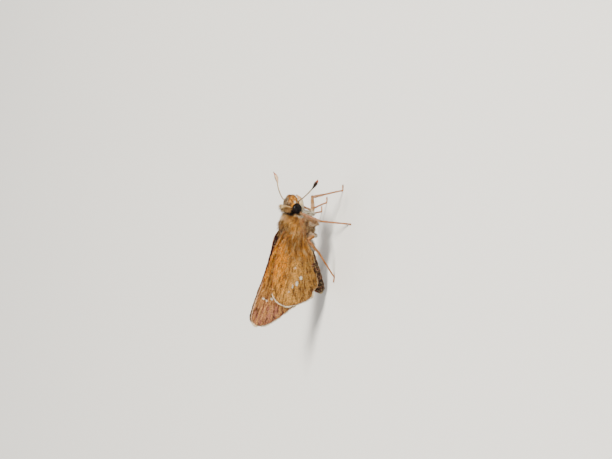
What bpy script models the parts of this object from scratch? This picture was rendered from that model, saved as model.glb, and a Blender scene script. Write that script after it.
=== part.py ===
"""Common straight swift, a small golden brown skipper butterfly, life size and at rest on its six feet.

The wings are closed over the back, the head is up and the tip of the abdomen is low.
+X is forward, +Y is the animal's left and +Z is up. The feet stand on Z = 0.
"""

import math

import bmesh
import bpy
import numpy as np
from mathutils import Matrix, Vector
from mathutils.geometry import delaunay_2d_cdt, intersect_point_line

MM = 0.001


def mm(*values):
    """Millimetres as the metres of this file: one size, or a point."""
    return values[0] * MM if len(values) == 1 else Vector(values) * MM


# Clearance between neighbouring solids
GAP = mm(0.3)

# Trunk: centres, and (place along, half width, top, bottom) of each section as shares of the half sizes
HEAD_CENTRE = mm(2.82, 0, 7.35)
HEAD_PITCH = math.radians(6)
HEAD_LENGTH = mm(3.15)
HEAD_SECTIONS = (
    (-1.0, 0.6, 0.7, 0.6),
    (-0.5, 0.88, 0.94, 0.8),
    (0.0, 0.98, 1.0, 0.46),
    (0.5, 0.88, 0.92, 0.38),
    (1.0, 0.66, 0.78, 0.4),
)
HEAD_HALF = mm(1.7), mm(1.8)

COLLAR_CENTRE = mm(1.85, 0, 7.55)
COLLAR_PITCH = math.radians(-14)
COLLAR_LENGTH = mm(0.95)
COLLAR_SECTIONS = ((-1.0, 1.0, 1.0, 1.0), (1.0, 1.0, 1.0, 1.0))
COLLAR_HALF = mm(1.95), mm(2.2)

THORAX_CENTRE = mm(-0.95, 0, 6.15)
THORAX_PITCH = math.radians(6)
THORAX_LENGTH = mm(5.5)
THORAX_SECTIONS = (
    (-1.0, 0.52, 0.78, 0.6),
    (-0.6, 0.76, 0.96, 0.88),
    (-0.15, 0.97, 1.05, 1.03),
    (0.3, 1.0, 1.07, 1.02),
    (0.7, 0.97, 1.15, 0.95),
    (1.0, 0.9, 1.3, 0.9),
)
THORAX_HALF = mm(2.05), mm(3.15)

ABDOMEN_FRONT = mm(-2.9, 0, 4.95)
ABDOMEN_TIP = mm(-11.35, 0, 0.88)
ABDOMEN_SAG = mm(0.25)
ABDOMEN_HALF = mm(1.42)
ABDOMEN_WIDTH = 0.94
ABDOMEN_SEGMENTS = 8
SEGMENT_GROOVE = 0.07
# Places along the abdomen with its radius there as a share: how it tapers, and how it closes at both ends
ABDOMEN_TAPER = ((0.0, 0.75), (0.06, 0.88), (0.13, 1.0), (0.5, 1.0),
                 (0.65, 0.966), (0.8, 0.865), (0.9, 0.76), (1.0, 0.63))
ABDOMEN_ENDS = ((0.0, 0.0), (0.005, 0.28), (0.02, 0.56), (0.04, 0.79), (0.064, 1.0),
                (0.936, 1.0), (0.96, 0.79), (0.98, 0.56), (0.995, 0.28), (1.0, 0.0))

# A trunk piece's rings shrink to its two ends as the ring of a ball raised to this power: below 1 is fuller
ROUNDNESS = 0.8

# Head parts, given on the right side and mirrored to the left
EYE_CENTRE = mm(2.1, -1.45, 7.17)
EYE_HALF = mm(0.86, 0.62, 0.8)
PALP_LINE = ((2.0, -0.95, 5.84), (2.6, -0.98, 5.96), (3.3, -0.98, 6.18), (3.85, -0.94, 6.5))
PALP_RADII = (0.32, 0.35, 0.35, 0.3)
PALP_POINT = (4.35, -0.88, 7.0)
PALP_POINT_RADII = (0.26, 0.13)
PROBOSCIS_CENTRE = mm(2.95, 0, 5.65)
PROBOSCIS_ROOT = mm(2.75, 0, 6.3)
PROBOSCIS_START = math.radians(115)
PROBOSCIS_TURNS = 0.75
PROBOSCIS_STEPS = 12
# Distance of the tongue from the middle of its coil, and its own radius, from first to last
PROBOSCIS_REACH = (0.42, 0.4)
PROBOSCIS_RADII = (0.23, 0.2)

# Antennae: where each leaves the head, then its line from there
ANTENNA_ROOT = mm(3.0, 0.8, 7.5)
ANTENNA_LINES = {
    "right": ((-0.4, 0.3, 0), (0.75, -2.7, -0.25), (1.8, -4.5, -0.6), (2.65, -5.6, -0.82),
              (3.3, -6.2, -0.95), (3.78, -6.5, -1.1), (3.95, -6.85, -0.9)),
    "left": ((-0.4, -0.3, 0), (0.63, 2.91, 0.34), (2.2, 4.6, 0.6), (3.5, 5.65, 0.56),
             (4.35, 6.2, 0.7), (4.95, 6.3, 1.2)),
}
ANTENNA_RADII = (0.25, 0.25, 0.25, 0.25, 0.25, 0.28, 0.4, 0.34, 0.15)

# Legs: root, hip, knee, end of the shin and tip of the foot
LEGS = {
    "foreleg_right": ((1.2, -0.7, 5.4), (1.5, -1.6, 4.35), (4.2, -2.5, 5.1), (4.7, -3.3, 3.7), (6.6, -3, 0)),
    "foreleg_left": ((1.2, 0.7, 5.4), (1.5, 1.6, 4.35), (2.8, 3.2, 5.3), (2.2, 3.15, 2.9), (4.5, 3.25, 0)),
    "midleg_right": ((-0.3, -0.8, 5.2), (0, -1.5, 3.4), (1.35, -3.3, 7), (0.4, -3.9, 3.8), (0.38, -7.75, 0)),
    "midleg_left": ((-0.3, 0.8, 5.2), (0, 1.5, 3.4), (0.5, 3.7, 6.6), (1.1, 4.7, 3.3), (2.9, 5.2, 0)),
    "hindleg_right": ((-2, -0.8, 4.6), (-2, -1.8, 3.7), (-2.8, -3.5, 5.6), (-4.8, -3.3, 3.3), (-9.3, -3, 0)),
    "hindleg_left": ((-2, 0.8, 4.6), (-2, 1.8, 3.7), (-2.8, 3.5, 5.6), (-4.8, 3.4, 3.3), (-9, 3.6, 0)),
}
TOE = mm(0.8)
COXA_RADII = (0.45, 0.41)
FEMUR_RADII = (0.31, 0.38, 0.37, 0.35, 0.27)
TIBIA_RADII = (0.27, 0.3, 0.27)
TARSUS_RADII = (0.255, 0.24, 0.23, 0.22, 0.18)
HIP_RADIUS, KNEE_RADIUS, ANKLE_RADIUS = mm(0.45), mm(0.31), mm(0.28)
FOOT_HEIGHT = mm(0.2)
SPUR_REACH = mm(0.62)
SPUR_RADII = (0.13, 0.05)

# Wings: outline, stems of the cell and veins in mm of the wing's plane, x to the tip, y to the leading edge
WING_THICKNESS = mm(0.5)
VEIN_RISE = mm(0.1)
VEIN_HALF_WIDTH = 0.2
VEIN_END = 0.5
VEIN_STEP = 1.3
VEIN_LEAN = 0.22
MERGE = 0.01
EDGE_STEPS = 3
GRID_STEP = 1.35
INNER_FACE = GAP / 2
WING_PITCH = WING_THICKNESS + VEIN_RISE + GAP
FLARE, FLARE_FROM, FLARE_REACH = mm(1.5), mm(-0.9), mm(3.3)
FOREWING = {
    "root": mm(-0.5, 0, 7.7),
    "lift": math.radians(15.5),
    "outline": ((-0.4, 0.2), (1.7, 0.95), (3.8, 1.25), (8.6, 1.05), (13.2, 1.04), (16.3, 0.88), (17.5, 0.2),
                (17.75, -0.75), (16.95, -2.4), (15.2, -4.0), (13.3, -5.25), (11.6, -6.4), (10.4, -6.55),
                (9.3, -5.8), (6.0, -3.6), (2.6, -1.4), (0.4, -0.55), (-0.6, -0.5)),
    "upper": ((-0.3, -0.05), (11.2, -0.35)),
    "lower": ((-0.3, -0.3), (10.3, -2.9)),
    "veins": (("upper", 0.0, 2.9), ("upper", 0.55, 3.75), ("upper", 0.72, 4.35), ("upper", 0.84, 4.9),
              ("upper", 0.94, 5.7), ("upper", 1.0, 6.7), ("end", 0.25, 7.45), ("end", 0.65, 8.15),
              ("lower", 1.0, 8.9), ("lower", 0.84, 9.6), ("lower", 0.42, 10.35), ("lower", 0.0, 11.4)),
    "face": INNER_FACE,
    "dip": (0, mm(1)),
}
HINDWING = {
    "root": mm(-2.35, 0, 5.7),
    "lift": math.radians(3),
    "outline": ((-0.5, 0.9), (0.3, 2.9), (1.3, 3.65), (2.9, 3.95), (6.5, 3.95), (9.6, 3.85), (10.8, 3.4),
                (11.6, 2.3), (11.9, 1.0), (11.65, -0.25), (10.95, -1.85), (9.8, -3.45), (8.75, -3.6),
                (8.1, -3.8), (7.4, -4.05), (5.3, -3.42), (2.8, -2.45), (0.9, -1.2), (-0.4, -0.5)),
    "upper": ((-0.2, 0.25), (6.3, 2.0)),
    "lower": ((-0.2, -0.1), (5.9, -0.1)),
    "veins": (("upper", 0.12, 5.0), ("upper", 1.0, 6.1), ("end", 0.3, 7.1), ("end", 0.8, 8.5),
              ("lower", 0.94, 9.4), ("lower", 0.6, 10.35), ("lower", 0.0, 12.0), ("lower", 0.0, 14.2)),
    "face": INNER_FACE + WING_PITCH,
    "dip": (mm(0.9), mm(1.5)),
}

# Finishes: colour, roughness and metallic value
FINISHES = {
    "golden_scales": ((0.42, 0.24, 0.09), 0.75, 0.0),
    "brown_fur": ((0.36, 0.23, 0.11), 0.9, 0.0),
    "dark_scales": ((0.12, 0.08, 0.06), 0.8, 0.0),
    "cream_fur": ((0.75, 0.65, 0.5), 0.9, 0.0),
    "pale_chitin": ((0.6, 0.42, 0.27), 0.55, 0.0),
    "dark_eye": ((0.012, 0.01, 0.014), 0.15, 0.0),
}


def finish(name):
    """The material of that name, made once."""
    found = bpy.data.materials.get(name)
    if found:
        return found
    colour, roughness, metallic = FINISHES[name]
    made = bpy.data.materials.new(name)
    made.use_nodes = True
    shader = made.node_tree.nodes["Principled BSDF"]
    shader.inputs["Base Color"].default_value = (*colour, 1)
    shader.inputs["Roughness"].default_value = roughness
    shader.inputs["Metallic"].default_value = metallic
    return made


def collection(name):
    made = bpy.data.collections.new(name)
    bpy.context.scene.collection.children.link(made)
    return made


def object_of(name, form, home, finish_name=None):
    """An object with this bmesh as its mesh, in the collection home."""
    mesh = bpy.data.meshes.new(name)
    form.to_mesh(mesh)
    form.free()
    made = bpy.data.objects.new(name, mesh)
    home.objects.link(made)
    if finish_name:
        mesh.materials.append(finish(finish_name))
    return made


def body_form(half_length, half, sections, centre, pitch, grow=0.0, sides=20, rings=13):
    """A rounded trunk piece, reshaped from a sphere whose poles are at its two ends."""
    form = bmesh.new()
    bmesh.ops.create_uvsphere(form, u_segments=sides, v_segments=rings, radius=1)
    bmesh.ops.rotate(form, verts=form.verts, matrix=Matrix.Rotation(math.pi / 2, 3, "Y"))
    along, wide, top, bottom = (np.array(column) for column in zip(*sections))
    for v in form.verts:
        ring = math.hypot(v.co.y, v.co.z)
        full = ring ** ROUNDNESS / max(ring, 1e-6)
        height = top if v.co.z > 0 else bottom
        v.co.y *= full * (half[0] * np.interp(v.co.x, along, wide) + grow)
        v.co.z *= full * (half[1] * np.interp(v.co.x, along, height) + grow)
        v.co.x *= half_length + grow
    bmesh.ops.rotate(form, verts=form.verts, matrix=Matrix.Rotation(-pitch, 3, "Y"))
    bmesh.ops.translate(form, verts=form.verts, vec=centre)
    return form


def ball(centre, half, grow=0.0, sides=12, rings=8):
    """An ellipsoid with these three half sizes."""
    form = bmesh.new()
    bmesh.ops.create_uvsphere(form, u_segments=sides, v_segments=rings, radius=1)
    bmesh.ops.scale(form, verts=form.verts, vec=half + Vector((grow, grow, grow)))
    bmesh.ops.translate(form, verts=form.verts, vec=centre)
    return form


def tube(name, points, radii, home, resolution=2):
    """A round limb piece along points, as a mesh with its caps welded."""
    line = bpy.data.curves.new(name, "CURVE")
    line.dimensions = "3D"
    line.bevel_depth = 1
    line.bevel_resolution = resolution
    line.use_fill_caps = True
    spline = line.splines.new("POLY")
    spline.points.add(len(points) - 1)
    for place, point, radius in zip(spline.points, points, radii):
        place.co = (*point, 1)
        place.radius = radius
    guide = bpy.data.objects.new(name, line)
    home.objects.link(guide)
    graph = bpy.context.evaluated_depsgraph_get()
    mesh = bpy.data.meshes.new_from_object(guide.evaluated_get(graph))
    form = bmesh.new()
    form.from_mesh(mesh)
    bmesh.ops.remove_doubles(form, verts=form.verts, dist=mm(0.001))
    bmesh.ops.recalc_face_normals(form, faces=form.faces)
    bpy.data.objects.remove(guide)
    bpy.data.meshes.remove(mesh)
    return object_of(name, form, home)


def spline_point(points, place):
    """The point of a smooth curve through these points, at a place counted in them."""
    i = min(int(place), len(points) - 2)
    t = place - i
    ends = [2 * points[0] - points[1], *points, 2 * points[-1] - points[-2]]
    a, b, c, d = ends[i:i + 4]
    return b + 0.5 * ((c - a) * t + (2 * a - 5 * b + 4 * c - d) * t ** 2 + (3 * b - a - 3 * c + d) * t ** 3)


def smooth_line(points, steps):
    """A curve through the points, with this many steps between each two."""
    return [spline_point(points, i / steps) for i in range((len(points) - 1) * steps + 1)]


def largest_island(form):
    """Removes all but the largest of the closed surfaces in the bmesh."""
    unseen, islands = set(form.verts), []
    while unseen:
        stack, island = [unseen.pop()], []
        while stack:
            v = stack.pop()
            island.append(v)
            near = {e.other_vert(v) for e in v.link_edges} & unseen
            unseen -= near
            stack.extend(near)
        islands.append(island)
    keep = max(islands, key=lambda island: sum((a.co - island[0].co).length for a in island))
    kept = set(keep)
    bmesh.ops.delete(form, geom=[v for v in form.verts if v not in kept], context="VERTS")


def spread(radii, count):
    """Radii in mm at even places, read at this many points, in metres."""
    places = np.linspace(0, len(radii) - 1, count)
    return [float(np.interp(place, range(len(radii)), radii)) * MM for place in places]


def shape_node(obj, joined=(), cutters=()):
    """Joins other objects to this one, cuts the cutters from it and keeps one closed surface."""
    helpers = bpy.data.collections.new("joined")
    if joined:
        for other in joined:
            helpers.objects.link(other)
        union = obj.modifiers.new("join", "BOOLEAN")
        union.operation = "UNION"
        union.operand_type = "COLLECTION"
        union.collection = helpers
    for cutter in cutters:
        cut = obj.modifiers.new("cut", "BOOLEAN")
        cut.operation = "DIFFERENCE"
        cut.object = cutter
    bpy.context.view_layer.update()
    graph = bpy.context.evaluated_depsgraph_get()
    mesh = bpy.data.meshes.new_from_object(obj.evaluated_get(graph))
    form = bmesh.new()
    form.from_mesh(mesh)
    bmesh.ops.dissolve_degenerate(form, dist=mm(0.0005), edges=form.edges)
    largest_island(form)
    form.to_mesh(obj.data)
    form.free()
    obj.modifiers.clear()
    for other in joined:
        bpy.data.objects.remove(other)
    bpy.data.collections.remove(helpers)
    bpy.data.meshes.remove(mesh)
    return obj


def helper(name, form, helpers):
    """A cutter, which is no part of the animal."""
    made = object_of(name, form, helpers)
    made.hide_render = True
    made.display_type = "WIRE"
    return made


def head_form(grow=0.0):
    return body_form(HEAD_LENGTH / 2, HEAD_HALF, HEAD_SECTIONS, HEAD_CENTRE, HEAD_PITCH, grow)


def collar_form(grow=0.0):
    return body_form(COLLAR_LENGTH / 2, COLLAR_HALF, COLLAR_SECTIONS, COLLAR_CENTRE, COLLAR_PITCH, grow)


def thorax_form(grow=0.0):
    return body_form(THORAX_LENGTH / 2, THORAX_HALF, THORAX_SECTIONS, THORAX_CENTRE, THORAX_PITCH, grow)


def abdomen_form(grow=0.0, sides=18, steps=3):
    """The abdomen: a turned form whose segments bulge, drawn out along its axis and bent a little."""
    axis = ABDOMEN_TIP - ABDOMEN_FRONT
    form = bmesh.new()
    rings = ABDOMEN_SEGMENTS * steps
    bmesh.ops.create_uvsphere(form, u_segments=sides, v_segments=rings, radius=1)
    bmesh.ops.rotate(form, verts=form.verts, matrix=Matrix.Rotation(math.pi / 2, 3, "Y"))
    turn = Vector((1, 0, 0)).rotation_difference(-axis)
    taper, ends = list(zip(*ABDOMEN_TAPER)), list(zip(*ABDOMEN_ENDS))
    for v in form.verts:
        ring = math.hypot(v.co.y, v.co.z)
        t = math.acos(max(-1, min(1, v.co.x))) / math.pi
        bulge = 1 - SEGMENT_GROOVE * (math.cos(2 * math.pi * t * ABDOMEN_SEGMENTS) + 1) / 2
        radius = (ABDOMEN_HALF * np.interp(t, *taper) * bulge + grow) * np.interp(t, *ends)
        side = Vector((0, v.co.y, v.co.z)) / max(ring, 1e-6) * radius
        side.y *= ABDOMEN_WIDTH
        v.co = ABDOMEN_FRONT + axis * t + turn @ side
        v.co += Vector((0, 0, ABDOMEN_SAG * math.sin(math.pi * t)))
        v.co += -axis.normalized() * grow * math.cos(math.pi * t)
    bmesh.ops.recalc_face_normals(form, faces=form.faces)
    return form


def mirrored(point):
    return Vector((point.x, -point.y, point.z))


def on_side(point, side):
    """A right side point, or its mirror image for the left side."""
    return point.copy() if side == "right" else mirrored(point)


def make_eyes(home):
    for side in ("left", "right"):
        form = ball(on_side(EYE_CENTRE, side), EYE_HALF, sides=16, rings=10)
        object_of("eye_" + side, form, home, "dark_eye")


def make_palps(home, helpers, cutters):
    for side in ("left", "right"):
        line = smooth_line([on_side(mm(*p), side) for p in PALP_LINE], 3)
        palp = tube("palp_" + side, line, spread(PALP_RADII, len(line)), home)
        palp.data.materials.append(finish("cream_fur"))
        end = on_side(mm(*PALP_POINT), side)
        point = tube("point", (line[-1], end), spread(PALP_POINT_RADII, 2), helpers, 1)
        shape_node(palp, [point], cutters)


def make_proboscis(home, cutters):
    """The tongue, wound between the palps into three quarters of a ring."""
    line = [PROBOSCIS_ROOT]
    for step, reach in enumerate(spread(PROBOSCIS_REACH, PROBOSCIS_STEPS + 1)):
        angle = PROBOSCIS_START - 2 * math.pi * PROBOSCIS_TURNS * step / PROBOSCIS_STEPS
        line.append(PROBOSCIS_CENTRE + Vector((math.cos(angle), 0, math.sin(angle))) * reach)
    tongue = tube("proboscis", line, spread(PROBOSCIS_RADII, len(line)), home, 1)
    tongue.data.materials.append(finish("pale_chitin"))
    return shape_node(tongue, (), cutters)


def make_antennae(home, cutters):
    for side, line in ANTENNA_LINES.items():
        root = ANTENNA_ROOT if side == "left" else mirrored(ANTENNA_ROOT)
        points = smooth_line([root + mm(*point) for point in line], 4)
        feeler = tube("antenna_" + side, points, spread(ANTENNA_RADII, len(points)), home)
        feeler.data.materials.append(finish("pale_chitin"))
        shape_node(feeler, (), cutters)


def make_legs(home, helpers, cutters):
    """Each leg: coxa, thick femur, shin with its spurs, and a long foot that ends flat on the floor."""
    for name, places in LEGS.items():
        root, hip, knee, ankle, foot = (mm(*place) for place in places)
        toe_way = (foot - ankle) * Vector((1, 1, 0))
        foot.z = FOOT_HEIGHT
        heel = foot - toe_way.normalized() * TOE
        bend = heel + (ankle - heel).normalized() * TOE
        leg = tube(name, (root, hip), spread(COXA_RADII, 2), home)
        leg.data.materials.append(finish("pale_chitin"))
        thigh = [hip.lerp(knee, i / 4) for i in range(5)]
        shin = [knee, knee.lerp(ankle, 0.5), ankle]
        sole = smooth_line([ankle, bend, heel, foot], 3)
        pieces = [
            tube("thigh", thigh, spread(FEMUR_RADII, len(thigh)), helpers),
            tube("shin", shin, spread(TIBIA_RADII, len(shin)), helpers),
            tube("foot", sole, spread(TARSUS_RADII, len(sole)), helpers),
        ]
        for joint, radius in ((hip, HIP_RADIUS), (knee, KNEE_RADIUS), (ankle, ANKLE_RADIUS)):
            form = ball(joint, Vector((1, 1, 1)) * radius, sides=8, rings=6)
            pieces.append(object_of("joint", form, helpers))
        if not name.startswith("fore"):
            pieces.extend(make_spurs(knee, ankle, helpers))
        shape_node(leg, pieces, cutters)


def make_spurs(knee, ankle, helpers):
    """The pair of spurs at the end of a shin."""
    way = (ankle - knee).normalized()
    out = way.cross(Vector((0, 0, 1)) if abs(way.z) < 0.9 else Vector((1, 0, 0))).normalized()
    spurs = []
    for side in (-1, 1):
        tip = ankle + (way + out * side) * SPUR_REACH
        spurs.append(tube("spur", (ankle, tip), spread(SPUR_RADII, 2), helpers, 0))
    return spurs


def vein_lines(wing):
    """The veins as polylines: the two stems, the end of the cell between them, then the branches."""
    edge = [Vector(p) for p in wing["outline"]]
    upper, lower = ([Vector(p) for p in wing[stem]] for stem in ("upper", "lower"))
    stems = {"upper": upper, "lower": lower, "end": [upper[1], lower[1]]}
    curves = [(a, a.lerp(b, 0.5), b) for a, b in stems.values()]
    for stem, share, end in wing["veins"]:
        start = stems[stem][0].lerp(stems[stem][1], share)
        tip = spline_point(edge, end)
        way = Vector((1, 0)) if stem == "end" else (stems[stem][1] - stems[stem][0]).normalized()
        reach = (tip - start).length
        tip -= (tip - start).normalized() * VEIN_END
        curves.append((start, start + way * reach * VEIN_LEAN, tip))
    lines = []
    for a, b, c in curves:
        count = max(1, round((c - a).length / VEIN_STEP))
        shares = [i / count for i in range(count + 1)]
        lines.append([a * (1 - t) ** 2 + b * 2 * t * (1 - t) + c * t * t for t in shares])
    return lines


def distance_to_lines(point, lines):
    """How far a point is from the nearest of the polylines."""
    nearest = math.inf
    for line in lines:
        for a, b in zip(line, line[1:]):
            share = intersect_point_line(point, a, b)[1]
            nearest = min(nearest, (point - a.lerp(b, max(0.0, min(1.0, share)))).length)
    return nearest


def vein_edges(line, others):
    """The foot of a ridge on each side of a vein, without the stretches that lie in the ridges of others."""
    for side in (-1, 1):
        foot = []
        for i, here in enumerate(line):
            way = (line[min(i + 1, len(line) - 1)] - line[max(i - 1, 0)]).normalized()
            foot.append(here + Vector((-way.y, way.x)) * VEIN_HALF_WIDTH * side)
        for a, b in zip(foot, foot[1:]):
            if min(distance_to_lines(p, others) for p in (a, a.lerp(b, 0.5), b)) > VEIN_HALF_WIDTH * 0.8:
                yield a, b


def wing_sheet(wing):
    """The flat wing as points, triangles and each point's share of the veins' rise."""
    edge = smooth_line([Vector(p) for p in wing["outline"]], EDGE_STEPS)
    veins = vein_lines(wing)
    points = list(edge)
    links = []
    for line in veins:
        links.extend((len(points) + i, len(points) + i + 1) for i in range(len(line) - 1))
        points.extend(line)
        for a, b in vein_edges(line, [other for other in veins if other is not line]):
            links.append((len(points), len(points) + 1))
            points.extend((a, b))
    low, high = (Vector(f(p[i] for p in edge) for i in range(2)) for f in (min, max))
    step = Vector((GRID_STEP, GRID_STEP * math.sqrt(0.75)))
    for row in range(int((high.y - low.y) / step.y) + 1):
        for column in range(int((high.x - low.x) / step.x) + 1):
            spot = low + Vector(((column + row % 2 / 2) * step.x, row * step.y))
            if distance_to_lines(spot, veins) < VEIN_HALF_WIDTH * 2.5:
                continue
            if inside(spot, edge) and distance_to_lines(spot, [[*edge, edge[0]]]) > VEIN_HALF_WIDTH * 2:
                points.append(spot)
    points, _, faces = delaunay_2d_cdt(points, links, [list(range(len(edge)))], 1, MERGE, False)[:3]
    faces = [face for face in faces if inside(sum((points[i] for i in face), Vector((0, 0))) / 3, edge)]
    rise = [max(0.0, 1 - distance_to_lines(p, veins) / VEIN_HALF_WIDTH) for p in points]
    return points, faces, rise


def inside(point, edge):
    """Whether a point lies within a closed outline."""
    hits = 0
    for a, b in zip(edge, [*edge[1:], edge[0]]):
        if (a.y > point.y) != (b.y > point.y):
            hits += point.x < a.x + (point.y - a.y) / (b.y - a.y) * (b.x - a.x)
    return hits % 2 == 1


def face_height(wing, place):
    """How far the wing's inner face is from the middle plane: little, but more round the thorax."""
    behind = max(0.0, FLARE_FROM - place.x)
    dip, reach = wing["dip"]
    near = max(0.0, 1 - ((place - wing["root"]).length / reach) ** 2)
    return wing["face"] + FLARE * math.exp(-(behind / FLARE_REACH) ** 2) - dip * near ** 2


def make_wing(name, wing, side, home, cutters):
    """The sheet bent to its place, then thickened outwards, most of all along the veins."""
    sign = -1 if side == "right" else 1
    points, faces, rise = wing_sheet(wing)
    lift = Matrix.Rotation(wing["lift"], 3, "Y")
    form = bmesh.new()
    risen = form.verts.layers.float.new("rise")
    for point, share in zip(points, rise):
        place = wing["root"] + lift @ mm(-point.x, 0, point.y)
        place.y = sign * face_height(wing, place)
        form.verts.new(place)[risen] = share
    form.verts.ensure_lookup_table()
    for face in faces:
        form.faces.new([form.verts[i] for i in face])
    outer = bmesh.ops.extrude_face_region(form, geom=form.faces[:])["geom"]
    for v in outer:
        if isinstance(v, bmesh.types.BMVert):
            v.co.y += sign * (WING_THICKNESS + VEIN_RISE * v[risen])
    bmesh.ops.recalc_face_normals(form, faces=form.faces)
    bmesh.ops.triangulate(form, faces=form.faces)
    return shape_node(object_of(name, form, home, "golden_scales"), (), cutters)


def centre_on_origin(nodes):
    """Moves the animal so that the middle of its footprint is on the origin, by an empty that carries it."""
    corners = [v.co for node in nodes for v in node.data.vertices]
    low, high = (Vector(f(c[i] for c in corners) for i in range(3)) for f in (min, max))
    stand = bpy.data.objects.new("butterfly", None)
    bpy.context.scene.collection.objects.link(stand)
    stand.location = -(low.x + high.x) / 2, -(low.y + high.y) / 2, -low.z
    for node in nodes:
        node.parent = stand


def main():
    for obj in list(bpy.data.objects):
        bpy.data.objects.remove(obj)
    animal = collection("straight_swift")
    helpers = collection("cutters")
    thorax_room = helper("thorax_room", thorax_form(GAP), helpers)
    head_room = helper("head_room", head_form(GAP), helpers)
    abdomen_room = helper("abdomen_room", abdomen_form(GAP), helpers)
    eye_rooms = [helper("eye_room", ball(on_side(EYE_CENTRE, side), EYE_HALF, GAP, 16, 10), helpers)
                 for side in ("left", "right")]
    floor = bmesh.new()
    bmesh.ops.create_cube(floor, size=mm(60))
    bmesh.ops.translate(floor, verts=floor.verts, vec=(0, 0, -mm(30)))
    floor_room = helper("floor_room", floor, helpers)

    object_of("thorax", thorax_form(), animal, "brown_fur")
    shape_node(object_of("head", head_form(), animal, "brown_fur"), (), [thorax_room, *eye_rooms])
    collar = object_of("collar", collar_form(), animal, "cream_fur")
    shape_node(collar, (), [head_room, thorax_room, *eye_rooms])
    shape_node(object_of("abdomen", abdomen_form(), animal, "dark_scales"), (), [thorax_room])
    make_eyes(animal)
    make_palps(animal, helpers, [head_room, thorax_room, *eye_rooms])
    make_proboscis(animal, [head_room])
    make_antennae(animal, [head_room, *eye_rooms])
    make_legs(animal, helpers, [thorax_room, floor_room])
    for side in ("left", "right"):
        make_wing("forewing_" + side, FOREWING, side, animal, [thorax_room])
        make_wing("hindwing_" + side, HINDWING, side, animal, [thorax_room, abdomen_room])
    for node in animal.objects:
        node.data.shade_smooth()
        node.data.set_sharp_from_angle(angle=math.radians(40))
    centre_on_origin(list(animal.objects))


main()
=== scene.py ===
"""Looks of the common straight swift: skin and coat, scaled wings, eyes, feelers, tongue, claws and studio.

Sizes are in millimetres in the animal's own frame: X is forward, Y is its left and Z is up from the floor.
"""

import math
from collections import namedtuple

import bpy
import numpy as np
from mathutils import Matrix, Vector
from mathutils.geometry import delaunay_2d_cdt
from mathutils.kdtree import KDTree


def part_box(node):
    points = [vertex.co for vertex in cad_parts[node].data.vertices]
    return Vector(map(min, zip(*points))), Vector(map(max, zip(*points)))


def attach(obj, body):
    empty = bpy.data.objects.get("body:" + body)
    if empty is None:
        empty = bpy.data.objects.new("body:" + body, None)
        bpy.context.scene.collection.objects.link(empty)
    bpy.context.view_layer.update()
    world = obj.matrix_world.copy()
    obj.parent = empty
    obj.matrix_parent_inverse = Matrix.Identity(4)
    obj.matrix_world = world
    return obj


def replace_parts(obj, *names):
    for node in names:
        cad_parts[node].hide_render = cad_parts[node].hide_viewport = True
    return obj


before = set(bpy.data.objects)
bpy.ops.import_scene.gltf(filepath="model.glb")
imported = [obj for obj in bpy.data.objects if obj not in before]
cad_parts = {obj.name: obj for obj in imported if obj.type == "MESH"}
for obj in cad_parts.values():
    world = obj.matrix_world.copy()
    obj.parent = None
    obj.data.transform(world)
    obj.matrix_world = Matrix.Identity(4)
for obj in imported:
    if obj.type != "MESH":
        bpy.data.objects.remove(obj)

MM = 0.001
UP = np.array((0.0, 0.0, 1.0))
FORWARD = np.array((1.0, 0.0, 0.0))
LEFT = np.array((0.0, 1.0, 0.0))
SIDES = {"right": -1, "left": 1}

# Depth of the coat, by which the skin lies inside the solids
HEAD_COAT = 0.3
COLLAR_COAT = 0.45
THORAX_COAT = 0.42
ABDOMEN_COAT = 0.12

# Trunk: centre, pitch in degrees, then half length, half width and half height
HEAD = {"centre": (2.82, 0, 7.35), "pitch": 6, "half": (1.575, 1.7, 1.8)}
COLLAR = {"centre": (1.85, 0, 7.55), "pitch": -14, "half": (0.475, 1.95, 2.2)}
THORAX = {"centre": (-0.95, 0, 6.15), "pitch": 6, "half": (2.75, 2.05, 3.15)}
# Sections: place along, then half width, top and bottom as shares of the half sizes
HEAD_SECTIONS = (
    (-1.0, 0.6, 0.7, 0.6),
    (-0.5, 0.88, 0.94, 0.8),
    (0.0, 0.98, 1.0, 0.55),
    (0.5, 0.88, 0.92, 0.5),
    (1.0, 0.66, 0.78, 0.5),
)
COLLAR_SECTIONS = ((-1.0, 1.0, 1.0, 1.0), (1.0, 1.0, 1.0, 1.0))
THORAX_SECTIONS = (
    (-1.0, 0.52, 0.78, 0.6),
    (-0.6, 0.76, 0.96, 0.88),
    (-0.15, 0.97, 1.05, 1.03),
    (0.3, 1.0, 1.07, 1.02),
    (0.7, 0.97, 1.15, 0.95),
    (1.0, 0.9, 1.3, 0.9),
)
ROUNDNESS = 0.8
ABDOMEN_FRONT = np.array((-2.9, 0, 4.95))
ABDOMEN_TIP = np.array((-11.35, 0, 0.88))
ABDOMEN_SAG = 0.25
ABDOMEN_HALF = 1.42
ABDOMEN_WIDTH = 0.94
SEGMENTS = 8
SEGMENT_STEP = 0.1
# Rings and sides of the forms that make the skin
TRUNK_GRID = (40, 48)
JOINT_GRID = (8, 12)
SEGMENT_RINGS = 14
ABDOMEN_SIDES = 44

# Head parts, given on the right side
EYE_CENTRE = np.array((2.1, -1.45, 7.17))
EYE_HALF = np.array((0.86, 0.62, 0.8))
EYE_GRID = (48, 64)
FACET = 0.035
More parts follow.
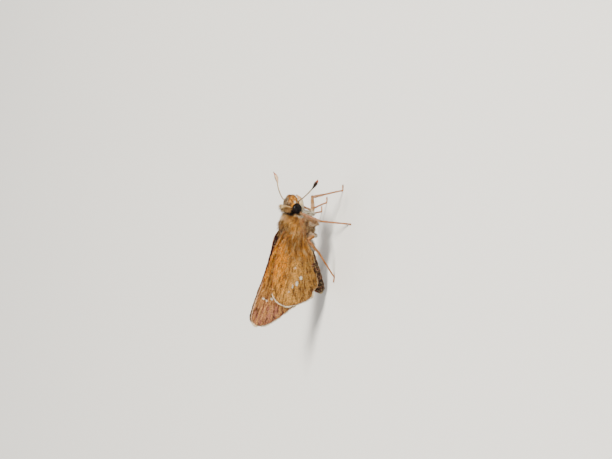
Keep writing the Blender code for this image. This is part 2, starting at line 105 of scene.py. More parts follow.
# Middles of a dark mark on the face and of the white dot in front of an eye, on the left side
FACE_MARK = np.array((4.05, 0.45, 8.1))
EYE_DOT = np.array((3.1, 1.4, 7.55))
PALP_LINE = ((1.9, -0.7, 6.6), (2.05, -0.95, 6.1), (2.6, -0.98, 6.15), (3.3, -0.98, 6.35),
             (3.85, -0.93, 6.7), (4.2, -0.88, 7.15))
PALP_RADII = (0.22, 0.25, 0.28, 0.28, 0.22, 0.06)
TONGUE_CENTRE = np.array((2.95, 0, 6.05))
TONGUE_ROOT = np.array((2.75, 0, 6.8))
TONGUE_BEND = np.array((2.7, 0, 6.55))
TONGUE_RADIUS = 0.48
TONGUE_TUBE = 0.09
TONGUE_TURNS = 2.6
TONGUE_START = math.radians(115)

# Antennae: where each leaves the head, then its line from there
ANTENNA_ROOT = np.array((3.0, 0.8, 7.5))
ANTENNA_LINES = {
    "right": ((-0.4, 0.3, 0), (0.75, -2.7, -0.25), (1.8, -4.5, -0.6), (2.65, -5.6, -0.82),
              (3.3, -6.2, -0.95), (3.78, -6.5, -1.1), (3.95, -6.85, -0.9)),
    "left": ((-0.4, -0.3, 0), (0.63, 2.91, 0.34), (2.2, 4.6, 0.6), (3.5, 5.65, 0.56),
             (4.35, 6.2, 0.7), (4.95, 6.3, 1.2)),
}
# Places along the feeler, and its radius there: a thin shaft, then the club and its thin hooked tip
ANTENNA_PLACES = (0.0, 0.05, 0.7, 0.77, 0.86, 0.92, 0.96, 1.0)
ANTENNA_RADII = (0.14, 0.105, 0.1, 0.14, 0.29, 0.24, 0.12, 0.035)
ANTENNA_RINGS = 34

# Legs: root, hip, knee, end of the shin and tip of the foot
LEGS = {
    "foreleg_right": ((1.4, -1.2, 6.1), (1.5, -1.6, 4.35), (4.2, -2.5, 5.1), (4.7, -3.3, 3.7), (6.6, -3, 0)),
    "foreleg_left": ((1.4, 1.2, 6.1), (1.5, 1.6, 4.35), (2.8, 3.2, 5.3), (2.2, 3.15, 2.9), (4.5, 3.25, 0)),
    "midleg_right": ((-0.3, -0.8, 5.2), (0, -1.5, 3.4), (1.35, -3.3, 7), (0.4, -3.9, 3.8), (0.38, -7.75, 0)),
    "midleg_left": ((-0.3, 0.8, 5.2), (0, 1.5, 3.4), (0.5, 3.7, 6.6), (1.1, 4.7, 3.3), (2.9, 5.2, 0)),
    "hindleg_right": ((-2, -0.8, 4.6), (-2, -1.8, 3.7), (-2.8, -3.5, 5.6), (-4.8, -3.3, 3.3), (-9.3, -3, 0)),
    "hindleg_left": ((-2, 0.8, 4.6), (-2, 1.8, 3.7), (-2.8, 3.5, 5.6), (-4.8, 3.4, 3.3), (-9, 3.6, 0)),
}
TOE = 0.8
COXA_RADII = (0.4, 0.44, 0.38, 0.26)
FEMUR_RADII = (0.2, 0.28, 0.27, 0.23, 0.18)
TIBIA_RADII = (0.16, 0.2, 0.19, 0.17, 0.15)
TARSUS_RADIUS = 0.12
TARSUS_SWELL = 0.16
TARSUS_SEGMENTS = 5
LIMB_STEP = 0.09
CLAW_LENGTH = 0.3
SPUR_LENGTH = 0.85
SPINE_LENGTH = 0.32

# Skin
VOXEL = 0.055
SMOOTHING = {"head": 8, "collar": 8, "thorax": 10, "abdomen": 3, "palp": 3,
             "coxa": 4, "femur": 2, "tibia": 2, "tarsus": 2}

# Coat, by part: the step between spots, and how wide a lock of hair is
SPOT_STEP = {"head": 0.08, "collar": 0.09, "thorax": 0.122, "abdomen": 0.1, "palp": 0.08, "leg": 0.094,
             "outer": 0.112, "inner": 0.15}
LOCK_WIDTH = {"head": 0.05, "collar": 0.055, "thorax": 0.065, "abdomen": 0.045, "palp": 0.045, "leg": 0.045,
              "root": 0.06, "fringe": 0.05}
LOCK_DEPTH = 0.02
SWAY = 0.12
PATCH = 0.003
# Painted shade: how dark skin, membranes and the roots of locks and scales are painted, as shares of their
# tone, for the shade that falls on them under the coat and the scales
PAINTED_SKIN_SHADE = 0.7
PAINTED_WING_SHADE = 0.75
PAINTED_ROOT_SHADE = 0.55
# Shares of a scale's length: how far its root is behind its spot, then places from there to its tip
SCALE_BEHIND, SCALE_MIDDLE, SCALE_SHOULDER, SCALE_TIP = 0.15, 0.4, 0.62, 0.85

# Wings, in their own plane: x to the tip and y to the leading edge. A branch is its stem, the share of the
# stem where it starts and its end's place on the outline. A spot is its centre, half sizes and strength.
MEMBRANE = 0.05
VEIN_RISE = 0.05
VEIN_HALF = 0.1
VEIN_LEAN = 0.22
PLEAT_DEPTH = 0.09
PLEAT_WIDTH = 0.45
FLARE, FLARE_FROM, FLARE_REACH = 1.5, -0.9, 3.3
SHEET_STEP = 0.17
FRINGE = 0.36
FRINGE_COUNT = 1700
FRINGE_INSET = 0.04
FAN = np.array((-5.0, 0.4))
WING_SPAN = 18.5
EDGE_STEPS = 10
PROBE = 0.02
STREAK_REACH = 12
WINGS = {
    "forewing": {
        "root": (-0.5, 7.7),
        "lift": math.radians(15.5),
        "outline": ((-0.4, 0.2), (1.7, 0.95), (3.8, 1.25), (8.6, 1.05), (13.2, 1.04), (16.3, 0.88),
                    (17.5, 0.2), (17.75, -0.75), (16.95, -2.4), (15.2, -4.0), (13.3, -5.25), (11.6, -6.4),
                    (10.4, -6.55), (9.3, -5.8), (6.0, -3.6), (2.6, -1.4), (0.4, -0.55), (-0.6, -0.5)),
        "upper": ((-0.3, -0.05), (11.2, -0.35)),
        "lower": ((-0.3, -0.3), (10.3, -2.9)),
        "branches": (("upper", 0.0, 2.9), ("upper", 0.55, 3.75), ("upper", 0.72, 4.35),
                     ("upper", 0.84, 4.9), ("upper", 0.94, 5.7), ("upper", 1.0, 6.7),
                     ("end", 0.25, 7.45), ("end", 0.65, 8.15), ("lower", 1.0, 8.9),
                     ("lower", 0.84, 9.6), ("lower", 0.42, 10.35), ("lower", 0.0, 11.4)),
        "middle": 0.3,
        "sink": (0.6, 2.6),
        "fringed": (5.0, 6.4, 12.2, 15.0),
        "spots": ((12.93, -0.14, 0.14, 0.3, 0.9), (13.05, -0.75, 0.14, 0.22, 0.7),
                  (12.48, -1.52, 0.2, 0.26, 1), (10.9, -1.75, 0.5, 0.5, 1), (9.4, -2.6, 0.42, 0.34, 1),
                  (8.2, -0.7, 0.4, 0.22, 1), (8.0, -1.6, 0.34, 0.2, 1)),
    },
    "hindwing": {
        "root": (-2.35, 5.7),
        "lift": math.radians(3),
        "outline": ((-0.5, 0.9), (0.3, 2.9), (1.3, 3.65), (2.9, 3.95), (6.5, 3.95), (9.6, 3.85), (10.8, 3.4),
                    (11.6, 2.3), (11.9, 1.0), (11.65, -0.25), (10.95, -1.85), (9.8, -3.45), (8.75, -3.6),
                    (8.1, -3.8), (7.4, -4.05), (5.3, -3.42), (2.8, -2.45), (0.9, -1.2), (-0.4, -0.5)),
        "upper": ((-0.2, 0.25), (6.3, 2.0)),
        "lower": ((-0.2, -0.1), (5.9, -0.1)),
        "branches": (("upper", 0.12, 5.0), ("upper", 1.0, 6.1), ("end", 0.3, 7.1), ("end", 0.8, 8.5),
                     ("lower", 0.94, 9.4), ("lower", 0.6, 10.35), ("lower", 0.0, 12.0),
                     ("lower", 0.0, 14.2)),
        "middle": 1.12,
        "sink": (0.9, 3.2),
        "fringed": (4.6, 6.2, 11.9, 13.2),
        "spots": ((6.71, -0.88, 0.34, 0.25, 1), (7.7, -0.32, 0.4, 0.26, 1), (8.3, 0.36, 0.34, 0.13, 0.85),
                  (9.22, 0.87, 0.2, 0.14, 0.45), (5.18, 0.35, 0.22, 0.15, 0.55)),
    },
}

# Camera: the photo's view of the animal, which stands on the floor here
VIEW_ELEVATION = math.radians(22)
VIEW_ROLL = math.radians(84.5)
VIEW_CENTRE = (-4.39, -0.743)
VIEW_DISTANCE = 281.9
LENS = 100
FLOOR_RADIUS = 3


def tint(red, green, blue):
    """A screen colour, each value 0 to 255, as linear light."""
    share = np.array((red, green, blue)) / 255
    return np.where(share < 0.04045, share / 12.92, ((share + 0.055) / 1.055) ** 2.4)


WHITE = tint(248, 240, 218)
CREAM = tint(232, 206, 152)
GREY = tint(150, 134, 110)
GOLD = tint(222, 142, 34)
ORANGE = tint(246, 150, 20)
AMBER = tint(190, 118, 36)
TAN = tint(188, 134, 72)
OLIVE = tint(112, 76, 28)
ROSE = tint(208, 136, 96)
MAUVE = tint(186, 120, 98)
BROWN = tint(108, 64, 26)
UMBER = tint(66, 40, 22)
DARK = tint(34, 22, 16)
RUST = tint(140, 70, 44)
BLUSH = tint(236, 196, 158)
SAND = tint(240, 178, 92)
MAROON = tint(62, 28, 30)
EYE_COLOURS = ((0.002, 0.002, 0.003, 1), (0.014, 0.008, 0.006, 1))
FLOOR_COLOUR = (0.78, 0.77, 0.74, 1)
SKY_COLOUR = (0.95, 0.93, 0.89, 1)


# Sums on arrays of points

def unit(vectors):
    """The vectors, each made one long."""
    return vectors / np.maximum(np.linalg.norm(vectors, axis=-1, keepdims=True), 1e-9)


def dot(first, second):
    """The dot product of each two vectors."""
    return np.einsum("ij,ij->i", first, second)


def mixed(first, second, share):
    """Colours from first to second, by shares from 0 to 1 or by one share for all."""
    share = np.clip(share, 0, 1)[..., None]
    return first * (1 - share) + second * share


def ramp(values, low, high):
    """A smooth step from 0 at low to 1 at high."""
    share = np.clip((values - low) / (high - low), 0, 1)
    return share * share * (3 - 2 * share)


def curve(points, steps):
    """A smooth line through the points, with this many steps between each two."""
    points = np.asarray(points, float)
    ends = np.vstack((2 * points[0] - points[1], points, 2 * points[-1] - points[-2]))
    t = np.arange(steps)[:, None] / steps
    line = []
    for a, b, c, d in zip(ends, ends[1:], ends[2:], ends[3:]):
        square = 2 * a - 5 * b + 4 * c - d
        cube = 3 * b - a - 3 * c + d
        line.append(0.5 * (2 * b + (c - a) * t + square * t ** 2 + cube * t ** 3))
    return np.vstack((*line, points[-1]))


def run_of(line):
    """How far along the line each of its points is."""
    return np.concatenate(([0], np.cumsum(np.linalg.norm(np.diff(line, axis=0), axis=1))))


def even_steps(line, step):
    """The line again, with its points at even steps."""
    run = run_of(line)
    places = np.linspace(0, run[-1], max(2, round(run[-1] / step) + 1))
    return np.stack([np.interp(places, run, line[:, i]) for i in range(line.shape[1])], -1)


def spread(values, count):
    """The values read at even places, this many of them."""
    return np.interp(np.linspace(0, len(values) - 1, count), range(len(values)), values)


def mottle(points, size, seed):
    """Smooth random values from 0 to 1 at points, which change over about this size."""
    table = np.random.default_rng(seed).random((32, 32, 32))
    places = np.asarray(points) / size + 1000
    cell = np.floor(places).astype(int)
    part = places - cell
    part = part * part * (3 - 2 * part)
    total = np.zeros(len(places))
    for corner in np.ndindex(2, 2, 2):
        weight = np.prod(np.where(corner, part, 1 - part), axis=1)
        total += weight * table[tuple(((cell + corner) % 32).T)]
    return total


def gap_to(points, lines):
    """How far each point of a plane is from the nearest of the lines."""
    nearest = np.full(len(points), np.inf)
    for line in lines:
        for a, b in zip(line, line[1:]):
            way = b - a
            share = np.clip((points - a) @ way / max(way @ way, 1e-12), 0, 1)
            nearest = np.minimum(nearest, np.linalg.norm(points - a - share[:, None] * way, axis=1))
    return nearest


def inside(points, edge):
    """Whether each point of a plane lies within a closed outline."""
    hits = np.zeros(len(points), int)
    for a, b in zip(edge, np.roll(edge, -1, axis=0)):
        if a[1] == b[1]:
            continue
        crossing = (a[1] > points[:, 1]) != (b[1] > points[:, 1])
        hits += crossing & (points[:, 0] < a[0] + (points[:, 1] - a[1]) / (b[1] - a[1]) * (b[0] - a[0]))
    return hits % 2 == 1


# Closed forms whose points know where they lie along and round their own part

Form = namedtuple("Form", "part limb points faces centres ways sides shares length")
TINY = 1e-6


def form_of(part, points, faces, centres, way, side, shares, length, limb=0):
    """A form, whose centres, way and side are given for each point or once for all."""
    each = (np.broadcast_to(value, points.shape) for value in (centres, way, side))
    return Form(part, limb, points, faces, *each, shares, length)


def loft_faces(rings, sides):
    """Triangles of a closed form: a first point, then rings of points, then a last point."""
    here = 1 + np.arange(rings * sides).reshape(rings, sides)
    beside = np.roll(here, -1, axis=1)
    last = rings * sides + 1
    faces = [
        np.stack((here[:-1], here[1:], beside[1:]), -1),
        np.stack((here[:-1], beside[1:], beside[:-1]), -1),
        np.stack((np.zeros(sides, int), here[0], beside[0]), -1),
        np.stack((np.full(sides, last), beside[-1], here[-1]), -1),
    ]
    return np.concatenate([f.reshape(-1, 3) for f in faces])


def outward(points, faces):
    """The triangles, turned over if they face inwards."""
    a, b, c = (points[faces[:, i]] for i in range(3))
    return faces if np.einsum("ij,ij->", a, np.cross(b, c)) > 0 else faces[:, ::-1]


def ball_grid(rings, sides):
    """Points and triangles of a unit ball with its poles on the X axis, the front one first."""
    along = np.linspace(0, np.pi, rings + 2)[1:-1, None]
    around = np.arange(sides)[None] * 2 * np.pi / sides
    ring = np.sin(along)
    body = np.stack((np.cos(along) + 0 * around, ring * np.sin(around), ring * np.cos(around)), -1)
    points = np.vstack(((1, 0, 0), body.reshape(-1, 3), (-1, 0, 0)))
    return points, outward(points, loft_faces(rings, sides))


def rounded_form(part, shape, sections, coat):
    """A piece of the trunk, inside its solid by the depth of the coat."""
    ball, faces = ball_grid(*TRUNK_GRID)
    along, wide, top, bottom = np.array(sections).T
    half_length, half_width, half_height = shape["half"]
    x = ball[:, 0]
    ring = np.hypot(ball[:, 1], ball[:, 2])
    full = ring ** ROUNDNESS / np.maximum(ring, TINY)
    height = np.where(ball[:, 2] > 0, np.interp(x, along, top), np.interp(x, along, bottom))
    pitch = math.radians(shape["pitch"])
    way = np.array((math.cos(pitch), 0, math.sin(pitch)))
    rise = np.array((-math.sin(pitch), 0, math.cos(pitch)))
    centres = shape["centre"] + (x * (half_length - coat / 2))[:, None] * way
    y = ball[:, 1] * full * (half_width * np.interp(x, along, wide) - coat)
    z = ball[:, 2] * full * (half_height * height - coat)
    points = centres + y[:, None] * LEFT + z[:, None] * rise
    return form_of(part, points, faces, centres, -way, LEFT, (1 - x) / 2, 2 * half_length)


def abdomen_radius(t):
    """The abdomen's radius along its length: it tapers, and each segment overlaps the next a little."""
    taper = np.minimum(1, (t + 0.12) * 4) ** 0.4 * (1 - np.maximum(0, t - 0.5) ** 2 * 1.5)
    end = np.minimum(1, np.sin(np.pi * t) * 5) ** 0.5
    phase = (t * SEGMENTS) % 1
    return (ABDOMEN_HALF * taper * (1 - SEGMENT_STEP * (1 - phase) ** 1.5) - ABDOMEN_COAT) * end


def abdomen_form():
    """The segmented abdomen, drawn out along its axis and bent a little."""
    ball, faces = ball_grid(SEGMENTS * SEGMENT_RINGS, ABDOMEN_SIDES)
    axis = ABDOMEN_TIP - ABDOMEN_FRONT
    length = np.linalg.norm(axis)
    t = np.arccos(np.clip(ball[:, 0], -1, 1)) / np.pi
    way = axis / length
    rise = np.cross(LEFT, way)
    radius = abdomen_radius(t) / np.maximum(np.hypot(ball[:, 1], ball[:, 2]), TINY)
    centres = ABDOMEN_FRONT + axis * t[:, None] + UP * (ABDOMEN_SAG * np.sin(np.pi * t))[:, None]
    across = (ball[:, 1] * radius * ABDOMEN_WIDTH)[:, None] * LEFT
    points = centres + across + (ball[:, 2] * radius)[:, None] * rise
    return form_of("abdomen", points, faces, centres, way, LEFT, t, length)


def tube(part, line, radii, sides=14, limb=0):
    """A round limb along a line of points, with a radius at each."""
    radii = np.asarray(radii, float)
    ways = unit(np.gradient(line, axis=0))
    side = np.cross(ways[0], LEFT if abs(ways[0] @ LEFT) < 0.9 else UP)
    across = []
    for way in ways:
        side = unit(side - way * (side @ way))
        across.append(side)
    across = np.array(across)
    around = (np.arange(sides) * 2 * np.pi / sides)[None, :, None]
    out = across[:, None] * np.sin(around) + np.cross(across, ways)[:, None] * np.cos(around)
    body = line[:, None] + radii[:, None, None] * out
    first = line[0] - ways[0] * radii[0] * 0.6
    last = line[-1] + ways[-1] * radii[-1] * 0.6
    points = np.vstack((first, body.reshape(-1, 3), last))
    run = run_of(line)
    which = np.concatenate(([0], np.repeat(np.arange(len(line)), sides), [len(line) - 1]))
    return Form(part, limb, points, outward(points, loft_faces(len(line), sides)), line[which], ways[which],
                across[which], (run / run[-1])[which], run[-1])


def limb_form(part, corners, radii, limb):
    """A limb piece through these corners, with its radii spread along it."""
    line = even_steps(np.array(corners), LIMB_STEP)
    return tube(part, line, spread(radii, len(line)), limb=limb)


def joint_form(part, centre, radius, way, limb, share):
    """A round joint at one end of a limb piece."""
    ball, faces = ball_grid(*JOINT_GRID)
    side = unit(np.cross(way, UP + 0.01 * FORWARD))
    shares = np.full(len(ball), share)
    return form_of(part, centre + ball * radius, faces, centre, way, side, shares, np.inf, limb)


def leg_places(name):
    """A leg's root, hip, knee and ankle, then where its foot bends, and its heel and tip on the floor."""
    root, hip, knee, ankle, foot = (np.array(place, float) for place in LEGS[name])
    foot[2] = TARSUS_RADIUS
    heel = foot - unit((foot - ankle) * (1, 1, 0)) * TOE
    return root, hip, knee, ankle, heel + unit(ankle - heel) * TOE, heel, foot


def leg_forms(name, limb):
    """Coxa, femur, shin and a foot of five segments."""
    root, hip, knee, ankle, bend, heel, foot = leg_places(name)
    foot_line = even_steps(curve((ankle, bend, heel, foot), 6), LIMB_STEP / 2)
    phase = np.linspace(0, TARSUS_SEGMENTS, len(foot_line)) % 1
    radii = TARSUS_RADIUS * (1 - TARSUS_SWELL * (1 - phase) ** 2) * np.linspace(1.2, 0.95, len(foot_line))
    return [
        limb_form("coxa", (root, hip), COXA_RADII, limb),
        limb_form("femur", (hip, knee), FEMUR_RADII, limb),
        limb_form("tibia", (knee, ankle), TIBIA_RADII, limb),
        tube("tarsus", foot_line, radii, 12, limb),
        joint_form("femur", hip, COXA_RADII[-1] * 0.9, unit(knee - hip), limb, 0),
        joint_form("femur", knee, FEMUR_RADII[-1] * 1.02, unit(knee - hip), limb, 1),
        joint_form("tibia", ankle, TIBIA_RADII[-1] * 1.05, unit(ankle - knee), limb, 1),
    ]


def mirrored(points, side):
    """Points given on the right side, or their mirror image for the left side."""
    return np.asarray(points) * (1, -SIDES[side], 1)


def palp_form(side, limb):
    """A palp, which curves up in front of the face."""
    line = even_steps(curve(mirrored(PALP_LINE, side), 6), LIMB_STEP)
    return tube("palp", line, spread(PALP_RADII, len(line)), limb=limb)


# Pieces

OFFSET = np.array(sum(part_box("eye_right"), Vector())) / 2 / MM - EYE_CENTRE


def piece_of(name, points, faces, material, colours=None, uvs=None, smooth=True):
    """A piece from points in mm and an array of faces, riding on the body and kept above the floor."""
    points = np.maximum(points, (-np.inf, -np.inf, 0))
    mesh = bpy.data.meshes.new(name)
    mesh.vertices.add(len(points))
    mesh.vertices.foreach_set("co", ((points + OFFSET) * MM).astype(np.float32).ravel())
    mesh.loops.add(faces.size)
    mesh.loops.foreach_set("vertex_index", faces.astype(np.int32).ravel())
    mesh.polygons.add(len(faces))
    mesh.polygons.foreach_set("loop_start", np.arange(0, faces.size, faces.shape[1], dtype=np.int32))
    mesh.update(calc_edges=True)
    if colours is not None:
        layer = mesh.color_attributes.new("tone", "FLOAT_COLOR", "POINT")
        opaque = np.ones((len(points), 1))
        layer.data.foreach_set("color", np.hstack((colours, opaque)).astype(np.float32).ravel())
    if uvs is not None:
        layer = mesh.uv_layers.new(name="OFBake")
        layer.data.foreach_set("uv", uvs[faces.ravel()].astype(np.float32).ravel())
    if smooth:
        mesh.shade_smooth()
    mesh.materials.append(material)
    piece = bpy.data.objects.new(name, mesh)
    bpy.context.scene.collection.objects.link(piece)
    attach(piece, "root")
    return piece


def gathered(batches):
    """Batches of points, faces and further values of each point, as one."""
    points, faces, *values = zip(*batches)
    starts = np.cumsum([0] + [len(part) for part in points])
    faces = np.vstack([part + start for part, start in zip(faces, starts)])
    return np.vstack(points), faces, *map(np.vstack, values)


# Materials

def material_of(name, values):
    """A new material, with these values on its shader's sockets."""
    made = bpy.data.materials.new(name)
    made.use_nodes = True
    for socket, value in values.items():
        made.node_tree.nodes["Principled BSDF"].inputs[socket].default_value = value
    return made


def add_node(made, kind, **values):
    """A new node of a material, with these values on its sockets. An underscore stands for a space."""
    node = made.node_tree.nodes.new(kind)
    for socket, value in values.items():
        node.inputs[socket.replace("_", " ")].default_value = value
    return node


def connect(made, *wires):
    """Joins sockets of a material's nodes: each wire is a node and its output, then a node and its input."""
    for first, output, second, socket in wires:
        made.node_tree.links.new(first.outputs[output], second.inputs[socket])


def scaly_material(name, roughness, sheen, grain, contrast, bump):
    """The piece's own tones, broken up by fine grain, with a bump of the same grain and a soft sheen."""
    made = material_of(name, {"Roughness": roughness, "Sheen Weight": sheen, "Sheen Roughness": 0.4,
                              "Specular IOR Level": 0.15})
    shader = made.node_tree.nodes["Principled BSDF"]
    tone = add_node(made, "ShaderNodeAttribute")
    tone.attribute_name = "tone"
    place = add_node(made, "ShaderNodeTexCoord")
    noise = add_node(made, "ShaderNodeTexNoise", Scale=1 / (grain * MM), Detail=4)
    shades = add_node(made, "ShaderNodeMapRange", From_Min=0.3, From_Max=0.7, To_Min=1 - contrast,
                      To_Max=1 + contrast)
    product = add_node(made, "ShaderNodeVectorMath")
    product.operation = "SCALE"
    height = add_node(made, "ShaderNodeBump", Distance=bump * MM, Strength=0.6)
    connect(made,
            (place, "Object", noise, "Vector"),
            (noise, "Fac", shades, "Value"),
            (tone, "Color", product, "Vector"),
            (shades, "Result", product, "Scale"),
            (product, "Vector", shader, "Base Color"),
            (noise, "Fac", height, "Height"),
            (height, "Normal", shader, "Normal"))
    return made


def eye_material():
    """A black brown dome of small facets under a clear gloss."""
    made = material_of("eye_facets", {"Roughness": 0.35, "Specular IOR Level": 0.06, "Coat Weight": 0.04,
                                      "Coat Roughness": 0.08})
    shader = made.node_tree.nodes["Principled BSDF"]
    place = add_node(made, "ShaderNodeTexCoord")
    facets = add_node(made, "ShaderNodeTexVoronoi", Scale=1 / (FACET * MM), Randomness=0.25)
    patches = add_node(made, "ShaderNodeTexNoise", Scale=1 / (0.5 * MM))
    colours = add_node(made, "ShaderNodeValToRGB")
    for stop, position, colour in zip(colours.color_ramp.elements, (0.35, 0.75), EYE_COLOURS):
        stop.position = position
        stop.color = colour
    height = add_node(made, "ShaderNodeBump", Distance=0.01 * MM, Strength=0.5)
    height.invert = True
    connect(made,
            (place, "Object", facets, "Vector"),
            (place, "Object", patches, "Vector"),
            (patches, "Fac", colours, "Fac"),
            (colours, "Color", shader, "Base Color"),
            (facets, "Distance", height, "Height"),
            (height, "Normal", shader, "Normal"))
    return made


SKIN = scaly_material("skin", 0.6, 0.0, 0.12, 0.22, 0.03)
HAIR = scaly_material("hair", 0.55, 0.05, 0.1, 0.2, 0.01)
SCALES = scaly_material("wing_scales", 0.5, 0.0, 0.16, 0.2, 0.012)
SHELL = scaly_material("shell", 0.38, 0.0, 0.08, 0.2, 0.012)


# Skin

def remeshed(forms):
    """The forms as one closed skin, in points and four-cornered faces."""
    points, faces = gathered([(form.points, form.faces) for form in forms])
    mesh = bpy.data.meshes.new("forms")
    mesh.from_pydata(points.tolist(), [], faces.tolist())
    whole = bpy.data.objects.new("forms", mesh)
    bpy.context.scene.collection.objects.link(whole)
    remesh = whole.modifiers.new("remesh", "REMESH")
    remesh.mode = "VOXEL"
    remesh.voxel_size = VOXEL
    made = whole.evaluated_get(bpy.context.evaluated_depsgraph_get()).to_mesh()
    points = np.zeros(len(made.vertices) * 3)
    made.vertices.foreach_get("co", points)
    faces = np.zeros(len(made.polygons) * 4, int)
    made.polygons.foreach_get("vertices", faces)
    bpy.data.objects.remove(whole)
    return points.reshape(-1, 3), faces.reshape(-1, 4)


def relaxed(points, faces, rounds):
    """Points moved towards the mean of their neighbours, each for its own number of rounds."""
    starts = faces.ravel()
    ends = np.roll(faces, -1, axis=1).ravel()
    count = np.bincount(starts, minlength=len(points))
    for turn in range(rounds.max()):
        mean = np.stack([np.bincount(starts, points[ends, i], len(points)) / count for i in range(3)], -1)
        points = points + np.where(rounds > turn, 0.5, 0)[:, None] * (mean - points)
    return points


def normals_of(points, faces):
    """The normal of the surface at each point."""
    a, b, c, d = (points[faces[:, i]] for i in range(4))
    normals = np.repeat(np.cross(c - a, d - b), 4, axis=0)
    return unit(np.stack([np.bincount(faces.ravel(), normals[:, i], len(points)) for i in range(3)], -1))


def make_skin():
    """One skin over trunk, palps and legs, with each point's place and where it lies on which part."""
    forms = [
        rounded_form("head", HEAD, HEAD_SECTIONS, HEAD_COAT),
        rounded_form("collar", COLLAR, COLLAR_SECTIONS, COLLAR_COAT),
        rounded_form("thorax", THORAX, THORAX_SECTIONS, THORAX_COAT),
        abdomen_form(),
    ]
    forms += [palp_form(side, limb) for limb, side in enumerate(SIDES)]
    for limb, name in enumerate(LEGS):
        forms += leg_forms(name, limb)
    places, faces = remeshed(forms)
    counts = [len(form.points) for form in forms]
    tree = KDTree(sum(counts))
    for i, point in enumerate(np.vstack([form.points for form in forms])):
        tree.insert(point, i)
    tree.balance()
    nearest = np.array([tree.find(place)[1] for place in places])
    part, limb, length = (np.repeat([getattr(form, key) for form in forms], counts)[nearest]
                          for key in ("part", "limb", "length"))
    places = relaxed(places, faces, np.array([SMOOTHING[name] for name in part]))
    centre, way, side = (np.vstack([getattr(form, key) for form in forms])[nearest]
                         for key in ("centres", "ways", "sides"))
    share = np.concatenate([form.shares for form in forms])[nearest]
    out = places - centre
    return {
        "place": places,
        "faces": faces,
        "normal": normals_of(places, faces),
        "part": part,
        "limb": limb,
        "way": way,
        "share": np.clip(share + dot(out, way) / length, 0, 1),
        "around": np.arctan2(dot(out, side), dot(out, np.cross(side, way))),
    }


# Coat

def spots_on(skin, parts, spacing, seed, limbs=1):
    """Places spread evenly over these parts of the skin, clear of the eyes."""
    rng = np.random.default_rng(seed)
    faces = skin["faces"][np.isin(skin["part"][skin["faces"][:, 0]], parts)]
    faces = rng.permutation(faces)
    cells = np.floor(skin["place"][faces].mean(axis=1) / spacing).astype(int)
    faces = faces[np.unique(cells, axis=0, return_index=True)[1]]
    u, v = rng.random((2, len(faces), 1))
    a, b, c, d = (skin["place"][faces[:, i]] for i in range(4))
    spots = {key: skin[key][faces[:, 0]] for key in ("normal", "part", "limb", "way", "share", "around")}
    spots["place"] = (a * (1 - u) + b * u) * (1 - v) + (d * (1 - u) + c * u) * v
    spots["uvs"] = skin_uvs(spots, parts, limbs)
    return chosen(spots, eye_reach(spots["place"]) > 1.0)


def chosen(spots, keep):
    """Some of the spots: those for which keep is true."""
    return {key: values[keep] for key, values in spots.items()}


def skin_uvs(spots, parts, limbs):
    """Where each spot lies on the unwrapped skin: along its part, and round it in a band of its own."""
    piece = np.array([parts.index(name) for name in spots["part"]])
    band = spots["limb"] * len(parts) + piece + spots["around"] / (2 * np.pi) + 0.5
    return np.stack((spots["share"], band / (limbs * len(parts))), -1) * 0.99


def along_surface(spots, way):
    """The ways laid flat on the surface at each spot."""
    normal = spots["normal"]
    return unit(way - normal * np.sum(way * normal, axis=1, keepdims=True))


def locks(spots, tone, way, length, width, lift, seed, shade=PAINTED_ROOT_SHADE, strands=2, fan=0.25, curl=0.5):
    """Pointed locks of hair, a few strands from each spot, which lie along the surface and rise by lift."""
    rng = np.random.default_rng(seed)
    count = len(spots["place"]) * strands
    place, normal, way, tone, uvs = (
        np.repeat(values, strands, axis=0)
        for values in (spots["place"], spots["normal"], along_surface(spots, way), tone, spots["uvs"]))
    length, width, lift = (np.repeat(np.broadcast_to(value, len(spots["place"])), strands)[:, None]
                           for value in (length, width, lift))
    way = unit(way + np.cross(normal, way) * rng.normal(0, fan, (count, 1)))
    side = np.cross(normal, way)
    length = length * rng.uniform(0.7, 1.15, (count, 1))
    lift = lift * rng.uniform(0.6, 1.4, (count, 1))
    sway = rng.normal(0, SWAY, (count, 1)) * length
    shares = (0, 0.5, 1)
    middles = []
    for share in shares:
        rise = length * lift * (share - curl * share ** 2) - LOCK_DEPTH
        middles.append(place + way * length * share + normal * rise + side * sway * share ** 2)
    turns = np.radians((90, 210, 330))[None, :, None]
    around = side[:, None] * np.sin(turns) + normal[:, None] * np.cos(turns) * 0.7
    rings = [middle[:, None] + (width * (1 - 0.75 * share ** 1.5) / 2)[:, None] * around
             for share, middle in zip(shares, middles[:2])]
    points = np.concatenate((*rings, middles[2][:, None]), axis=1)
    faces = [(0, 2, 1)]
    for i, j in ((0, 1), (1, 2), (2, 0)):
        faces += [(i, j, 3 + j), (i, 3 + j, 3 + i)]
    faces += [(3, 4, 6), (4, 5, 6), (5, 3, 6)]
    return batch_of(points, faces, np.array((0, 0, 0, 0.5, 0.5, 0.5, 1)), tone, uvs, shade)


def batch_of(points, faces, shares, tone, uvs, shade):
    """Many like pieces, with painted shade that darkens them towards their roots, each a small patch of the
    UV map at its root's place.
    """
    count, each = points.shape[:2]
    faces = (np.array(faces)[None] + (np.arange(count) * each)[:, None, None]).reshape(-1, 3)
    shares = shares[None, :, None]
    # painted shade: each root is painted darker than its tip, for the shade deep in the coat
    colours = (tone * shade)[:, None] * (1 - shares) + tone[:, None] * shares
    spot = np.stack((np.arange(each) % 3 / 2, shares[0, :, 0]), -1) * PATCH
    return points.reshape(-1, 3), faces, colours.reshape(-1, 3), (uvs[:, None] + spot).reshape(-1, 2)


